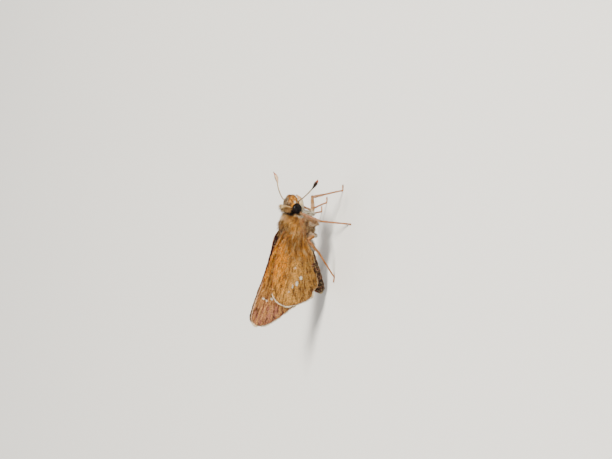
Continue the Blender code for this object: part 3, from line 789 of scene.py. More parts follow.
def scales(spots, tone, length, width, lift, seed, shade=PAINTED_ROOT_SHADE):
    """Flat scales with rounded ends, each a thin closed wedge that overlaps the next ones along its way."""
    rng = np.random.default_rng(seed)
    count = len(spots["place"])
    place, normal = spots["place"], spots["normal"]
    way = along_surface(spots, spots["way"])
    way = unit(way + np.cross(normal, way) * rng.normal(0, 0.12, (count, 1)))
    side = np.cross(normal, way)
    length = length * rng.uniform(0.85, 1.15, (count, 1))
    width = width * rng.uniform(0.85, 1.15, (count, 1))
    rise = length * lift * rng.uniform(0.6, 1.4, (count, 1))
    tilt = side * width / 2 + normal * rng.normal(0, 0.006, (count, 1))
    root = place - way * length * SCALE_BEHIND - normal * 0.012
    shoulder = place + way * length * SCALE_SHOULDER + normal * rise * 0.8
    points = np.stack((
        root - tilt * 0.6,
        root + tilt * 0.6,
        shoulder + tilt,
        place + way * length * SCALE_TIP + normal * rise,
        shoulder - tilt,
        place + way * length * SCALE_MIDDLE - normal * 0.004,
    ), axis=1)
    faces = ((0, 1, 2), (0, 2, 4), (2, 3, 4), (1, 0, 5), (2, 1, 5), (3, 2, 5), (4, 3, 5), (0, 4, 5))
    return batch_of(points, faces, np.array((0, 0, 0.7, 1, 0.7, 0.4)), tone, spots["uvs"], shade)


def varied(tone, seed, spread_of_light=0.16, dark=0.08, pale=0.06):
    """Tones with the small differences between neighbours: a few are dark and a few pale."""
    rng = np.random.default_rng(seed)
    kind = rng.random(len(tone))
    tone = tone * rng.normal(1, spread_of_light, (len(tone), 1)).clip(0.5, 1.6)
    tone = mixed(tone, UMBER, np.where(kind < dark, 0.55, 0))
    return mixed(tone, CREAM, np.where(kind > 1 - pale, 0.45, 0)).clip(0.002, 0.95)


def flecked(tone, values, dark=0.6, pale=0.4, light=CREAM):
    """The tones with dark streaks where the values are high and pale ones where they are low."""
    tone = mixed(tone, UMBER, ramp(values, 0.58, 0.78) * dark)
    return mixed(tone, light, (1 - ramp(values, 0.24, 0.44)) * pale)


def tousled(spots, way, amount, size, seed):
    """The ways, turned to and fro a little from clump to clump."""
    way = along_surface(spots, way)
    turn = (mottle(spots["place"], size, seed) - 0.5) * amount
    return way + np.cross(spots["normal"], way) * turn[:, None]


# Markings of the skin, which its coat carries on. A ramp's bounds are places in mm, shares of the part's
# length or of the head's half sizes, radians round the part, or values of the mottle.

def head_tone(spots):
    """White cheeks, a golden face with dark marks, a grey brown crown, and a pale rim round each eye."""
    place = spots["place"]
    front, high = head_places(place)
    patches = mottle(place, 0.3, 12)
    tone = mixed(OLIVE, GREY, ramp(patches, 0.3, 0.55))
    tone = mixed(tone, WHITE, ramp(patches, 0.62, 0.75) * 0.8)
    tone = mixed(tone, DARK, (1 - ramp(patches, 0.2, 0.36)) * 0.7)
    face = mixed(GOLD, BROWN, ramp(patches, 0.4, 0.8))
    face = mixed(face, CREAM, ramp(high + 0.4 * front, 0.85, 1.15) * 0.6)
    face = flecked(face, mottle(place, 0.2, 17), 0.9, 0.3)
    golden = ramp(front, -0.1, 0.1) * ramp(high, -0.4, -0.2) * (1 - ramp(high - 0.3 * front, 0.4, 0.6))
    tone = mixed(tone, face, golden)
    tone = mixed(tone, mixed(WHITE, CREAM, 0.3 + patches), 1 - ramp(high + 0.15 * front, -0.3, -0.1))
    rim = 1 - ramp(eye_reach(place), 1.15, 1.4)
    tone = mixed(tone, mixed(WHITE, GOLD, ramp(high, -0.25, -0.05)), rim)
    dark_mark, white_dot = (np.linalg.norm(np.abs(place) - spot, axis=1) for spot in (FACE_MARK, EYE_DOT))
    tone = mixed(tone, WHITE, 1 - ramp(white_dot, 0.14, 0.28))
    brow = np.abs(high + 0.12) + np.maximum(0, 0.35 - front)
    tone = mixed(tone, UMBER, (1 - ramp(brow, 0.03, 0.09)) * ramp(front, 0.2, 0.4) * 0.8)
    return mixed(tone, DARK, 1 - ramp(dark_mark, 0.14, 0.3))


def head_places(place):
    """How far forward and how high on the head places are, as shares of its half sizes."""
    centre, half = np.array(HEAD["centre"]), HEAD["half"]
    return (place[:, 0] - centre[0]) / half[0], (place[:, 2] - centre[2]) / half[2]


def eye_reach(place):
    """How far places are from the middle of the nearer eye, in its own half sizes."""
    near = np.stack((place[:, 0], -np.abs(place[:, 1]), place[:, 2]), -1)
    return np.linalg.norm((near - EYE_CENTRE) / EYE_HALF, axis=1)


def collar_tone(spots):
    """Cream in two bands, with an olive one between them, and a dark rear edge: dark short hair, with
    painted shade for the gap before the thorax.
    """
    patches = mottle(spots["place"], 0.25, 21)
    tone = mixed(CREAM, TAN, patches)
    band = np.abs(spots["share"] - 0.5 + 0.4 * (patches - 0.5))
    tone = mixed(tone, OLIVE, (1 - ramp(band, 0.04, 0.16)) * 0.8)
    # dark rear edge: dark short hair, and painted shade in the gap between collar and thorax
    return mixed(tone, DARK, ramp(spots["share"], 0.62, 0.78))


def thorax_tone(spots):
    """An olive brown back, golden flanks, rosy tan sides, dark rear corners and a pale underside."""
    place = spots["place"]
    x, z = place[:, 0], place[:, 2]
    patches = mottle(place, 0.5, 31)
    back = mixed(OLIVE, TAN, ramp(patches, 0.35, 0.8) * 0.4)
    flank = mixed(mixed(AMBER, GOLD, patches), SAND, ramp(patches, 0.3, 0.6) * 0.8)
    side = mixed(mixed(TAN, ROSE, ramp(patches, 0.3, 0.55)), UMBER, ramp(patches, 0.66, 0.78) * 0.7)
    shield = mixed(TAN, GREY, 0.3 + 0.4 * patches)
    rear = mixed(UMBER, WHITE, ramp(patches, 0.45, 0.6))
    tone = mixed(back, flank, (1 - ramp(z - 0.35 * x, 7.9, 8.5)) * (1 - ramp(x, 0.0, 0.9) * 0.7))
    tone = mixed(tone, side, 1 - ramp(z - 0.35 * x, 6.1, 6.8))
    tone = mixed(tone, shield, 1 - ramp(z, 5.2, 5.9))
    tone = mixed(tone, rear, (1 - ramp(x, -1.9, -1.2)) * (1 - ramp(z, 5.6, 6.4)))
    chest = np.maximum(1 - ramp(z, 3.3, 3.9), ramp(x, 0.7, 1.0) * (1 - ramp(z, 6.4, 6.9)))
    tone = mixed(tone, mixed(WHITE, GREY, patches), chest)
    tone = mixed(tone, BLUSH, ramp(x, 0.3, 0.6) * ramp(z, 8, 8.6) * 0.4)
    tone = flecked(tone, mottle(place * (0.35, 1, 1), 0.2, 32), 0.6, 0.45)
    # a dark band behind the collar: dark short hair, and painted shade in the gap between collar and thorax
    return mixed(tone, DARK, ramp(x, 0.85, 1.1) * ramp(z, 6.8, 7.4))


def abdomen_tone(spots):
    """Dark brown with pale flecks, a paler edge on each segment, and a pinkish cream underside and tip."""
    share, around = spots["share"], np.abs(spots["around"])
    patches = mottle(spots["place"], 0.22, 41)
    tone = mixed(DARK, UMBER, patches)
    tone = mixed(tone, MAUVE, ramp(patches, 0.64, 0.78) * 0.7)
    tone = mixed(tone, TAN, ramp((share * SEGMENTS) % 1, 0.8, 0.95) * 0.35)
    tone = mixed(tone, mixed(ROSE, CREAM, patches), ramp(around, 2.4, 2.9) * 0.8)
    tone = mixed(tone, mixed(WHITE, GREY, patches), ramp(around, 1.7, 2.2) * (1 - ramp(share, 0.14, 0.24)))
    return mixed(tone, CREAM, ramp(share, 0.955, 0.985))


def palp_tone(spots):
    """White, with a golden front and a dusky point."""
    share = spots["share"]
    tone = mixed(mixed(WHITE, CREAM, mottle(spots["place"], 0.25, 51)), GOLD, ramp(share, 0.62, 0.8) * 0.6)
    return mixed(tone, UMBER, ramp(share, 0.9, 0.97) * 0.8)


def leg_tone(spots):
    """White fore coxae and hips, dark and white rear ones, pale rosy thighs and shins, and tan feet."""
    share, part, limb = spots["share"], spots["part"], spots["limb"]
    patches = mottle(spots["place"], 0.3, 61)
    coxa = mixed(mixed(WHITE, GREY, ramp(patches, 0.5, 0.75)), TAN, (limb > 1) * 0.6)
    tone = mixed(coxa, UMBER, (limb > 3) * ramp(patches, 0.42, 0.52) * 0.9)
    for name, first, second in (("femur", BLUSH, TAN), ("tibia", BLUSH, ROSE), ("tarsus", ROSE, TAN)):
        tone = np.where((part == name)[:, None], mixed(first, second, patches), tone)
    tone = mixed(tone, AMBER, (limb > 3) * (part != "coxa") * 0.5)
    pale_thigh = (part == "femur") * (limb != 2) * (limb != 3) * (1 - ramp(share, 0.12, 0.3))
    tone = mixed(tone, WHITE, pale_thigh * 0.8)
    joint = (part != "coxa") * ramp(share, 0.94, 1.0)
    return mixed(tone, BROWN, joint * 0.6)


LEG_PIECES = ("coxa", "femur", "tibia", "tarsus")
TONES = {"head": head_tone, "collar": collar_tone, "thorax": thorax_tone, "abdomen": abdomen_tone,
         "palp": palp_tone, **dict.fromkeys(LEG_PIECES, leg_tone)}


def tone_of(spots):
    """The marking of each spot, by the part it lies on."""
    tone = np.zeros((len(spots["place"]), 3))
    for part in np.unique(spots["part"]):
        here = spots["part"] == part
        tone[here] = TONES[part](chosen(spots, here))
    return tone


def skin_piece(skin):
    """The skin itself, painted darker than its coat for the shade that falls on it under the coat."""
    spots = {key: values for key, values in skin.items() if key != "faces"}
    replaced = ["head", "collar", "thorax", "abdomen", "palp_left", "palp_right", *LEGS]
    # painted shade: the skin's tone is darkened for the shade under the coat
    piece = piece_of("skin", skin["place"], skin["faces"], SKIN, tone_of(spots) * PAINTED_SKIN_SHADE)
    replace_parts(piece, *replaced)


# Coat of each part

def coat_piece(name, batches, material, smooth=True):
    """The hair or scales of one part, as one piece."""
    points, faces, colours, uvs = gathered(batches)
    piece_of(name, points, faces, material, colours, uvs, smooth)


def head_coat(skin):
    """Short hair, which points forward on the face and stands up in tufts there and on the crown."""
    spots = spots_on(skin, ["head"], SPOT_STEP["head"], 13)
    front, high = head_places(spots["place"])
    ahead, crown = ramp(front, -0.5, 0.3), ramp(high, 0.3, 0.9)
    tuft = ramp(front, 0.2, 0.5) * ramp(high, -0.2, 0.2) * (1 - ramp(front, 0.6, 0.9))
    way = FORWARD * (2 * ahead - 1)[:, None] + UP * (1.6 * ramp(high, -0.3, 0.4) - 1)[:, None]
    rim = 1 - ramp(eye_reach(spots["place"]), 1.05, 1.5)
    length = (0.32 + 0.2 * crown + 0.14 * tuft) * (1 - 0.6 * rim)
    lift = 0.35 + 0.6 * np.maximum(crown, tuft) * (1 - rim)
    tone = varied(tone_of(spots), 14)
    way = tousled(spots, way, 2.2, 0.3, 16)
    batch = locks(spots, tone, way, length, LOCK_WIDTH["head"], lift, 15, strands=3)
    coat_piece("coat_head", [batch], HAIR)


def collar_coat(skin):
    """A thick ruff of cream hair behind the head, swept up to a point and back over the neck."""
    spots = spots_on(skin, ["collar"], SPOT_STEP["collar"], 23)
    high, rear = ramp(spots["place"][:, 2], 8.4, 9.4), ramp(spots["share"], 0.4, 0.6)
    way = UP * (1.3 - 0.6 * rear)[:, None] - FORWARD * (0.7 + rear)[:, None]
    way = tousled(spots, way, 1.2, 0.35, 26)
    tone = varied(tone_of(spots), 24)
    length = 0.5 + 0.25 * high + 0.4 * rear
    batch = locks(spots, tone, way, length, LOCK_WIDTH["collar"], 0.6, 25, strands=3, curl=0.35)
    coat_piece("coat_collar", [batch], HAIR)


def thorax_coat(skin):
    """Long hair on the back and the wings' roots, upright behind the collar, and loose hair below."""
    spots = spots_on(skin, ["thorax"], SPOT_STEP["thorax"], 33)
    x, y, z = spots["place"].T
    back, below = ramp(z, 7.5, 8.6), 1 - ramp(z, 3.4, 4.6)
    flank = ramp(z, 5, 5.8) * (1 - ramp(z, 8.4, 9)) * (1 - ramp(x, 0.2, 1))
    neck = ramp(x, 0.5, 1.2) * ramp(z, 7.4, 8.2)
    rise = 0.35 * ramp(z, 6.2, 7) * (1 - back) - 0.3 * (1 - ramp(z, 4, 6)) + 1.5 * neck
    out = 0.3 * np.sign(y) * below
    way = FORWARD * (1.3 * neck - 1)[:, None] + UP * rise[:, None] + LEFT * out[:, None]
    length = 0.5 + 0.35 * back + 0.3 * below + (0.55 + 0.3 * (x < -1)) * flank + 0.3 * neck
    lift = 0.3 + 0.35 * below + 0.45 * flank + 0.4 * neck
    way = tousled(spots, way, 1.6, 0.45, 36)
    tone = varied(tone_of(spots), 34, 0.2)
    batch = locks(spots, tone, way, length, LOCK_WIDTH["thorax"], lift, 35, shade=0.65, strands=3, fan=0.22)
    coat_piece("coat_thorax", [batch], HAIR)


def abdomen_coat(skin):
    """Overlapping flat scales, hair along the underside and a pale brush at the tip."""
    spots = spots_on(skin, ["abdomen"], SPOT_STEP["abdomen"], 43)
    tone = varied(tone_of(spots), 44, 0.25, 0.1, 0.12)
    flat = scales(spots, tone, 0.2, 0.12, 0.22, 45)
    hairy = (np.abs(spots["around"]) > 1.9) | (spots["share"] > 0.9)
    few = chosen(spots, hairy)
    base = 1 - ramp(few["share"], 0.14, 0.26)
    length = 0.3 + 0.2 * ramp(few["share"], 0.93, 0.98) + 0.5 * base
    hair = locks(few, tone[hairy], few["way"], length, LOCK_WIDTH["abdomen"], 0.25 + 0.6 * base, 46)
    coat_piece("coat_abdomen", [flat, hair], SCALES, smooth=False)


def palp_coat(skin):
    """Dense white hair, longest in front."""
    spots = spots_on(skin, ["palp"], SPOT_STEP["palp"], 53, len(SIDES))
    tone = varied(tone_of(spots), 54, 0.1, 0.03, 0.0)
    way = spots["way"] + FORWARD * 0.3
    length = 0.24 + 0.14 * spots["share"]
    batch = locks(spots, tone, way, length, LOCK_WIDTH["palp"], 0.4, 55, shade=0.7, strands=3)
    coat_piece("coat_palps", [batch], HAIR)


def leg_coat(skin):
    """Flat scales on every leg, long hair on the coxae, and some on the thighs and the hind shins."""
    spots = spots_on(skin, LEG_PIECES, SPOT_STEP["leg"], 63, len(LEGS))
    tone = varied(tone_of(spots), 64, 0.14)
    part = spots["part"]
    length = np.where(part == "tarsus", 0.12, 0.17)[:, None]
    flat = scales(spots, tone, length, length * 0.6, 0.3, 65)
    coxa = part == "coxa"
    thick = (part == "femur") | ((part == "tibia") & (spots["limb"] >= 4))
    hairy = coxa | (thick & (np.random.default_rng(66).random(len(part)) < 0.4))
    few = chosen(spots, hairy)
    length = np.where(coxa, 0.55, 0.34)[hairy]
    hair = locks(few, tone[hairy], few["way"], length, LOCK_WIDTH["leg"], 0.5, 67)
    coat_piece("coat_legs", [flat, hair], SCALES, smooth=False)


# Wings

def wing_lines(wing):
    """The veins in the wing's plane: two stems, the end of the cell, then the branches to the margin."""
    edge = curve(wing["outline"], EDGE_STEPS)
    stems = {key: np.array(wing[key]) for key in ("upper", "lower")}
    stems["end"] = np.array((stems["upper"][1], stems["lower"][1]))
    lines = [even_steps(stem, SHEET_STEP) for stem in stems.values()]
    t = np.linspace(0, 1, 12)[:, None]
    for stem, share, end in wing["branches"]:
        first, last = stems[stem]
        start = first + (last - first) * share
        tip = edge[round(end * EDGE_STEPS)]
        way = FORWARD[:2] if stem == "end" else unit(last - first)
        bend = start + way * np.linalg.norm(tip - start) * VEIN_LEAN
        lines.append(even_steps(start * (1 - t) ** 2 + bend * 2 * t * (1 - t) + tip * t * t, SHEET_STEP))
    return lines


def with_lines(wing):
    """The wing with its veins and its membrane's edge, and with the fringe's way and length along it."""
    line = curve(wing["outline"], EDGE_STEPS)
    places = np.arange(len(line)) / EDGE_STEPS
    way = unit(np.gradient(line, axis=0))
    out = np.stack((-way[:, 1], way[:, 0]), -1)
    start, full, fade, end = wing["fringed"]
    fringe = FRINGE * ramp(places, start, full) * (1 - ramp(places, fade, end))
    edge = line - out * fringe[:, None]
    return {**wing, "lines": wing_lines(wing), "edge": edge, "out": out, "fringe": fringe}


def even_grid(low, high, step):
    """Points of a plane in even, staggered rows."""
    row_step = step * math.sqrt(0.75)
    wide, tall = high - low
    rows, columns = np.mgrid[0:int(tall / row_step) + 1, 0:int(wide / step) + 1]
    return low + np.stack(((columns + rows % 2 / 2) * step, rows * row_step), -1).reshape(-1, 2)


def closed(line):
    """The line with its first point again at its end."""
    return np.vstack((line, line[:1]))


def wing_sheet(wing):
    """The membrane's flat points and triangles."""
    edge = even_steps(closed(wing["edge"]), SHEET_STEP)[:-1]
    grid = even_grid(edge.min(0), edge.max(0), SHEET_STEP)
    grid = grid[gap_to(grid, wing["lines"]) > SHEET_STEP * 0.6]
    spots = np.vstack((grid, *wing["lines"]))
    spots = spots[inside(spots, edge) & (gap_to(spots, [closed(edge)]) > SHEET_STEP * 0.5)]
    corners = [Vector(point) for point in np.vstack((edge, spots))]
    points, _, faces = delaunay_2d_cdt(corners, [], [list(range(len(edge)))], 1, 0.01, False)[:3]
    points, faces = np.array(points), np.array(faces)
    return points, faces[inside(points[faces].mean(axis=1), edge)]


def wing_surface(wing, side, face, flat):
    """Points of the wing's plane on the bent, pleated sheet: face is 1 outside, -1 inside, 0 between."""
    sine, cosine = math.sin(wing["lift"]), math.cos(wing["lift"])
    x = wing["root"][0] - flat[:, 0] * cosine + flat[:, 1] * sine
    z = wing["root"][1] + flat[:, 0] * sine + flat[:, 1] * cosine
    behind = np.maximum(0, FLARE_FROM - x)
    sink, reach = wing["sink"]
    near = np.maximum(0, 1 - ((x - wing["root"][0]) ** 2 + (z - wing["root"][1]) ** 2) / reach ** 2)
    gap = gap_to(flat, wing["lines"])
    relief = PLEAT_DEPTH * (np.exp(-(gap / PLEAT_WIDTH) ** 2) - 1)
    relief += face * (MEMBRANE / 2 + VEIN_RISE * np.exp(-(gap / VEIN_HALF) ** 2))
    y = wing["middle"] + FLARE * np.exp(-(behind / FLARE_REACH) ** 2) - sink * near + relief
    return np.stack((x, SIDES[side] * y, z), -1)


def wing_spots(wing, side, face, flat, way):
    """Spots at these places of a wing's plane, whose ways in it are turned to lie along the wing."""
    place = wing_surface(wing, side, face, flat)
    ahead = unit(wing_surface(wing, side, face, flat + (PROBE, 0)) - place)
    above = unit(wing_surface(wing, side, face, flat + (0, PROBE)) - place)
    normal = unit(np.cross(ahead, above))
    normal *= np.sign(normal[:, 1] * SIDES[side] * (face or 1))[:, None]
    return {
        "place": place,
        "normal": normal,
        "way": way[:, :1] * ahead + way[:, 1:] * above,
        "flat": flat,
        "uvs": (flat - wing["edge"].min(0) + FRINGE) / WING_SPAN + (0, 0.5 * (face < 0)),
        "gap": gap_to(flat, wing["lines"]),
        "rim": gap_to(flat, [closed(wing["edge"])]),
    }


def face_spots(wing, side, face, spacing, seed):
    """Spots in even rows over one face of a wing, for scales that point away from the root."""
    rng = np.random.default_rng(seed)
    flat = even_grid(wing["edge"].min(0), wing["edge"].max(0), spacing)
    flat = flat + rng.normal(0, spacing * 0.14, flat.shape)
    flat = flat[inside(flat, wing["edge"])]
    return wing_spots(wing, side, face, flat, unit(flat - FAN))


def streaks(flat, width, stretch, seed):
    """Random values that run along the wing in streaks of about this width, and longer by this stretch."""
    out = flat - FAN
    reach = np.hypot(out[:, 0], out[:, 1])
    turn = np.arctan2(out[:, 1], out[:, 0]) * STREAK_REACH
    return mottle(np.stack((turn, reach / stretch, 0 * turn), -1), width, seed)


def pale_spots(wing, flat):
    """How much of each place lies in one of the wing's white spots, some of which are faint."""
    share = np.zeros(len(flat))
    for x, y, along, across, strength in wing["spots"]:
        reach = np.hypot((flat[:, 0] - x) / along, (flat[:, 1] - y) / across)
        share = np.maximum(share, strength * (1 - ramp(reach, 0.75, 1.1)))
    return share


def hindwing_tone(wing, spots):
    """The underside of a hindwing: orange in front, golden at the root, olive behind, with a dusky patch."""
    x, y = spots["flat"].T
    tone = mixed(mixed(AMBER, SAND, 0.7), OLIVE, ramp(-y, -0.3, 2.0) * 0.65)
    tone = mixed(tone, ORANGE, ramp(y, 0.5, 2.4) * (1 - ramp(x, 6, 11)))
    tone = mixed(tone, GOLD, (1 - ramp(x, 0.5, 3.5)) * 0.6)
    tone = mixed(tone, BROWN, 0.45 * (1 - ramp(np.hypot(x - 6.3, (y - 1.6) * 1.3), 0.4, 1.6)))
    tone = mixed(tone, BROWN, 0.35 * ramp(-y, 0.4, 1.6) * ramp(x, 6.5, 9))
    tone = wing_details(wing, spots, tone, 71)
    behind = (y < -0.3 - 0.3 * x) & (x < 8.4)
    return mixed(tone, CREAM, behind * (1 - ramp(spots["rim"], 0.05, 0.16)) * 0.8)


def forewing_tone(wing, spots):
    """The underside of a forewing: golden in front, brown behind, rose to mauve at the tip, with a painted
    highlight along the leading edge near the tip.
    """
    x, y = spots["flat"].T
    tone = mixed(mixed(AMBER, BROWN, 0.15), ROSE, ramp(x, 9.5, 15) * 0.75)
    tone = mixed(tone, ORANGE, ramp(y, 0.1, 0.8) * (1 - ramp(x, 8, 12)))
    tone = mixed(tone, MAUVE, ramp(x - 0.5 * y, 12, 16) * 0.9)
    tone = mixed(tone, UMBER, ramp(-y - 0.25 * (x - 10), 1.9, 3.4) * 0.6)
    tone = wing_details(wing, spots, tone, 72)
    # painted highlight: a pale pink rim light along the leading edge towards the tip
    return mixed(tone, BLUSH, (y > -0.5) * (1 - ramp(spots["rim"], 0.06, 0.2)) * ramp(x, 9, 14) * 0.7)


def wing_details(wing, spots, tone, seed):
    """Adds broad and fine streaks, the veins, the rusty line inside the margin and the white spots."""
    flat = spots["flat"]
    tone = mixed(tone, BROWN, ramp(streaks(flat, 0.34, 9, seed), 0.5, 0.8) * 0.2)
    tone = flecked(tone, streaks(flat, 0.15, 9, seed + 20), 0.25, 0.3, SAND)
    tone = flecked(tone, streaks(flat, 0.09, 6, seed + 30), 0.7, 0.45, SAND)
    tone = mixed(tone, SAND, np.exp(-(spots["gap"] / 0.07) ** 2) * 0.3)
    tone = mixed(tone, RUST, (1 - ramp(spots["rim"], 0.08, 0.24)) * 0.5)
    return mixed(tone, WHITE, pale_spots(wing, flat))


def upper_tone(wing, spots):
    """The upper side of a wing, which faces inwards here: dark, with an olive hind root and white spots."""
    flat = spots["flat"]
    tone = mixed(UMBER, BROWN, ramp(streaks(flat, 0.3, 9, 73), 0.4, 0.8) * 0.6)
    tone = mixed(tone, OLIVE, (1 - ramp(flat[:, 0], 1.5, 5)) * (1 - ramp(flat[:, 1], -0.6, 0.2)) * 0.7)
    tone = mixed(tone, MAROON, ramp(flat[:, 1], -0.2, 0.4) * (1 - ramp(flat[:, 0], 5, 9)) * 0.9)
    return mixed(tone, WHITE, pale_spots(wing, flat) * 0.9)


UNDER_TONES = {"forewing": forewing_tone, "hindwing": hindwing_tone}


def membrane(kind, wing, side):
    """The thin veined sheet of a wing, in place of its solid."""
    flat, faces = wing_sheet(wing)
    count = len(flat)
    outer, inner = (wing_spots(wing, side, face, flat, np.ones((count, 2))) for face in (1, -1))
    pairs = np.vstack((faces[:, (0, 1)], faces[:, (1, 2)], faces[:, (2, 0)]))
    known = set(map(tuple, pairs))
    i, j = np.array([(a, b) for a, b in pairs if (b, a) not in known]).T
    rim = np.vstack((np.stack((j, i, i + count), -1), np.stack((j, i + count, j + count), -1)))
    points = np.vstack((outer["place"], inner["place"]))
    faces = outward(points, np.vstack((faces, faces[:, ::-1] + count, rim)))
    # painted shade: the membrane is painted darker than its scales, for the shade beneath them
    colours = np.vstack((UNDER_TONES[kind](wing, outer), upper_tone(wing, inner))) * PAINTED_WING_SHADE
    name = f"{kind}_{side}"
    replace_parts(piece_of("membrane_" + name, points, faces, SKIN, colours), name)


def fringe_spots(wing, side, seed):
    """Spots along the fringed edge of a wing, whose hair points out from it and a little to the tip."""
    rng = np.random.default_rng(seed)
    fringed = np.flatnonzero(wing["fringe"] > 0.05 * FRINGE)
    places = np.sort(rng.uniform(fringed[0], fringed[-1], FRINGE_COUNT))
    columns = np.column_stack((wing["edge"], wing["out"], wing["fringe"])).T
    values = np.stack([np.interp(places, range(len(column)), column) for column in columns], -1)
    edge, out = values[:, :2], values[:, 2:4]
    spots = wing_spots(wing, side, 0, edge - out * FRINGE_INSET, unit(out + (0.25, 0)))
    return {**spots, "fringe": values[:, 4]}


def wing_coat(kind, wing, side):
    """Scales on both faces of a wing, long hair on its root and the pale fringe."""
    seed = 80 + 10 * SIDES[side] + len(kind + side)
    outer = face_spots(wing, side, 1, SPOT_STEP["outer"], seed)
    tone = varied(UNDER_TONES[kind](wing, outer), seed, 0.2, 0.12, 0.06)
    tone = mixed(tone, WHITE, pale_spots(wing, outer["flat"]) * 0.7)
    inner = face_spots(wing, side, -1, SPOT_STEP["inner"], seed + 1)
    inner_tone = varied(upper_tone(wing, inner), seed + 1)
    # the scales' roots carry painted shade, darker than their tips
    coat_piece(f"coat_{kind}_{side}", [
        scales(outer, tone, 0.19, 0.115, 0.16, seed + 6, PAINTED_WING_SHADE),
        scales(inner, inner_tone, 0.25, 0.15, 0.16, seed + 7, PAINTED_WING_SHADE),
        fringe_hair(fringe_spots(wing, side, seed + 2), seed + 8),
        root_hair(outer, seed + 4),
    ], SCALES, smooth=False)


def fringe_hair(edge, seed):
    """Pale hair along the edge, in clumps of different lengths and tones."""
    clump, shade, scallop = (mottle(edge["place"], *values) for values in ((0.25, 75), (0.3, 77), (0.7, 78)))
    pale = mixed(WHITE, CREAM, clump) * shade[:, None] ** 0.2
    pale = mixed(pale, RUST, (1 - ramp(clump, 0.2, 0.4)) * 0.5)
    length = edge["fringe"] * (0.4 + 0.5 * clump + 0.8 * scallop)
    return locks(edge, pale, edge["way"], length, LOCK_WIDTH["fringe"], 0.02, seed, shade=0.7, fan=0.12)


def root_hair(outer, seed):
    """Golden hair on the root of a wing, which grows sparser and shorter away from it."""
    reach = 1 - ramp(np.linalg.norm(outer["flat"], axis=1), 1.5, 5)
    kept = np.random.default_rng(seed).random(len(reach)) < 0.75 * reach
    root, reach = chosen(outer, kept), reach[kept]
    tone = varied(mixed(GOLD, TAN, mottle(root["place"], 0.4, 74)), seed + 1)
    tone = flecked(tone, streaks(root["flat"], 0.17, 5, 76), 0.7, 0.5)
    length, lift = 0.5 + 0.5 * reach, 0.2 + 0.35 * reach
    return locks(root, tone, root["way"], length, LOCK_WIDTH["root"], lift, seed + 5, shade=0.7, fan=0.12,
                 curl=0.4)


# Head parts and the hard points of the legs

def eye(side):
    """A glossy dome of facets, set in the side of the head."""
    ball, faces = ball_grid(*EYE_GRID)
    points = mirrored(EYE_CENTRE + ball * EYE_HALF, side)
    piece = piece_of("faceted_eye_" + side, points, outward(points, faces), eye_material())
    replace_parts(piece, "eye_" + side)


def antenna(side):
    """A ringed shaft, a long dark club and its thin hooked tip."""
    root = ANTENNA_ROOT * (1, SIDES[side], 1)
    line = even_steps(curve(root + np.array(ANTENNA_LINES[side]), 12), 0.04)
    profile = curve(np.stack((ANTENNA_PLACES, ANTENNA_RADII), -1), 8)
    share = np.linspace(0, 1, len(line))
    phase = share * ANTENNA_RINGS % 1
    radii = np.interp(share, profile[:, 0], profile[:, 1]) * (0.92 + 0.12 * np.sin(np.pi * phase) ** 0.5)
    form = tube("antenna", line, radii, 14)
    place, shares = form.points, form.shares
    out = place - form.centres
    below = ramp(-out[:, 2], -0.04, 0.06)
    within = ramp(-out[:, 1] * SIDES[side] - 0.3 * out[:, 2], -0.02, 0.1)
    pale_ring = 1 - ramp((shares * ANTENNA_RINGS) % 1, 0.45, 0.6)
    tone = mixed(mixed(UMBER, TAN, below), CREAM, pale_ring * (0.3 + 0.5 * below))
    tone = mixed(tone, mixed(DARK, BLUSH, within * 0.7), ramp(shares, 0.69, 0.73))
    tone = mixed(tone, CREAM, ramp(shares, 0.6, 0.66) * (1 - ramp(shares, 0.74, 0.78)) * below)
    tone = mixed(tone, RUST, ramp(shares, 0.9, 0.96))
    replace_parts(piece_of("feeler_" + side, place, form.faces, SHELL, tone), "antenna_" + side)


def tongue():
    """The tongue, wound into a flat spiral between the palps."""
    turn = np.linspace(0, 1, 150)
    angle = TONGUE_START - 2 * np.pi * TONGUE_TURNS * turn
    radius = (TONGUE_RADIUS - TONGUE_TUBE) * (1 - 0.82 * turn)
    coil = TONGUE_CENTRE + radius[:, None] * np.stack((np.cos(angle), 0 * angle, np.sin(angle)), -1)
    line = even_steps(np.vstack((curve((TONGUE_ROOT, TONGUE_BEND, coil[0]), 8)[:-1], coil)), 0.04)
    share = np.linspace(0, 1, len(line))
    rings = 1 + 0.05 * np.sin(2 * np.pi * share * 120)
    form = tube("tongue", line, TONGUE_TUBE * (1 - 0.5 * share) * rings, 12)
    tone = mixed(BROWN, AMBER, mottle(form.points, 0.3, 91))
    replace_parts(piece_of("coiled_tongue", form.points, form.faces, SHELL, tone), "proboscis")


def thorn(start, way, length, radius, droop):
    """A short curved spine."""
    t = np.linspace(0, 1, 5)[:, None]
    line = start + way * length * t - UP * droop * length * t ** 2
    line[:, 2] = np.maximum(line[:, 2], radius)
    return tube("thorn", line, radius * (1.1 - t[:, 0]), 6)


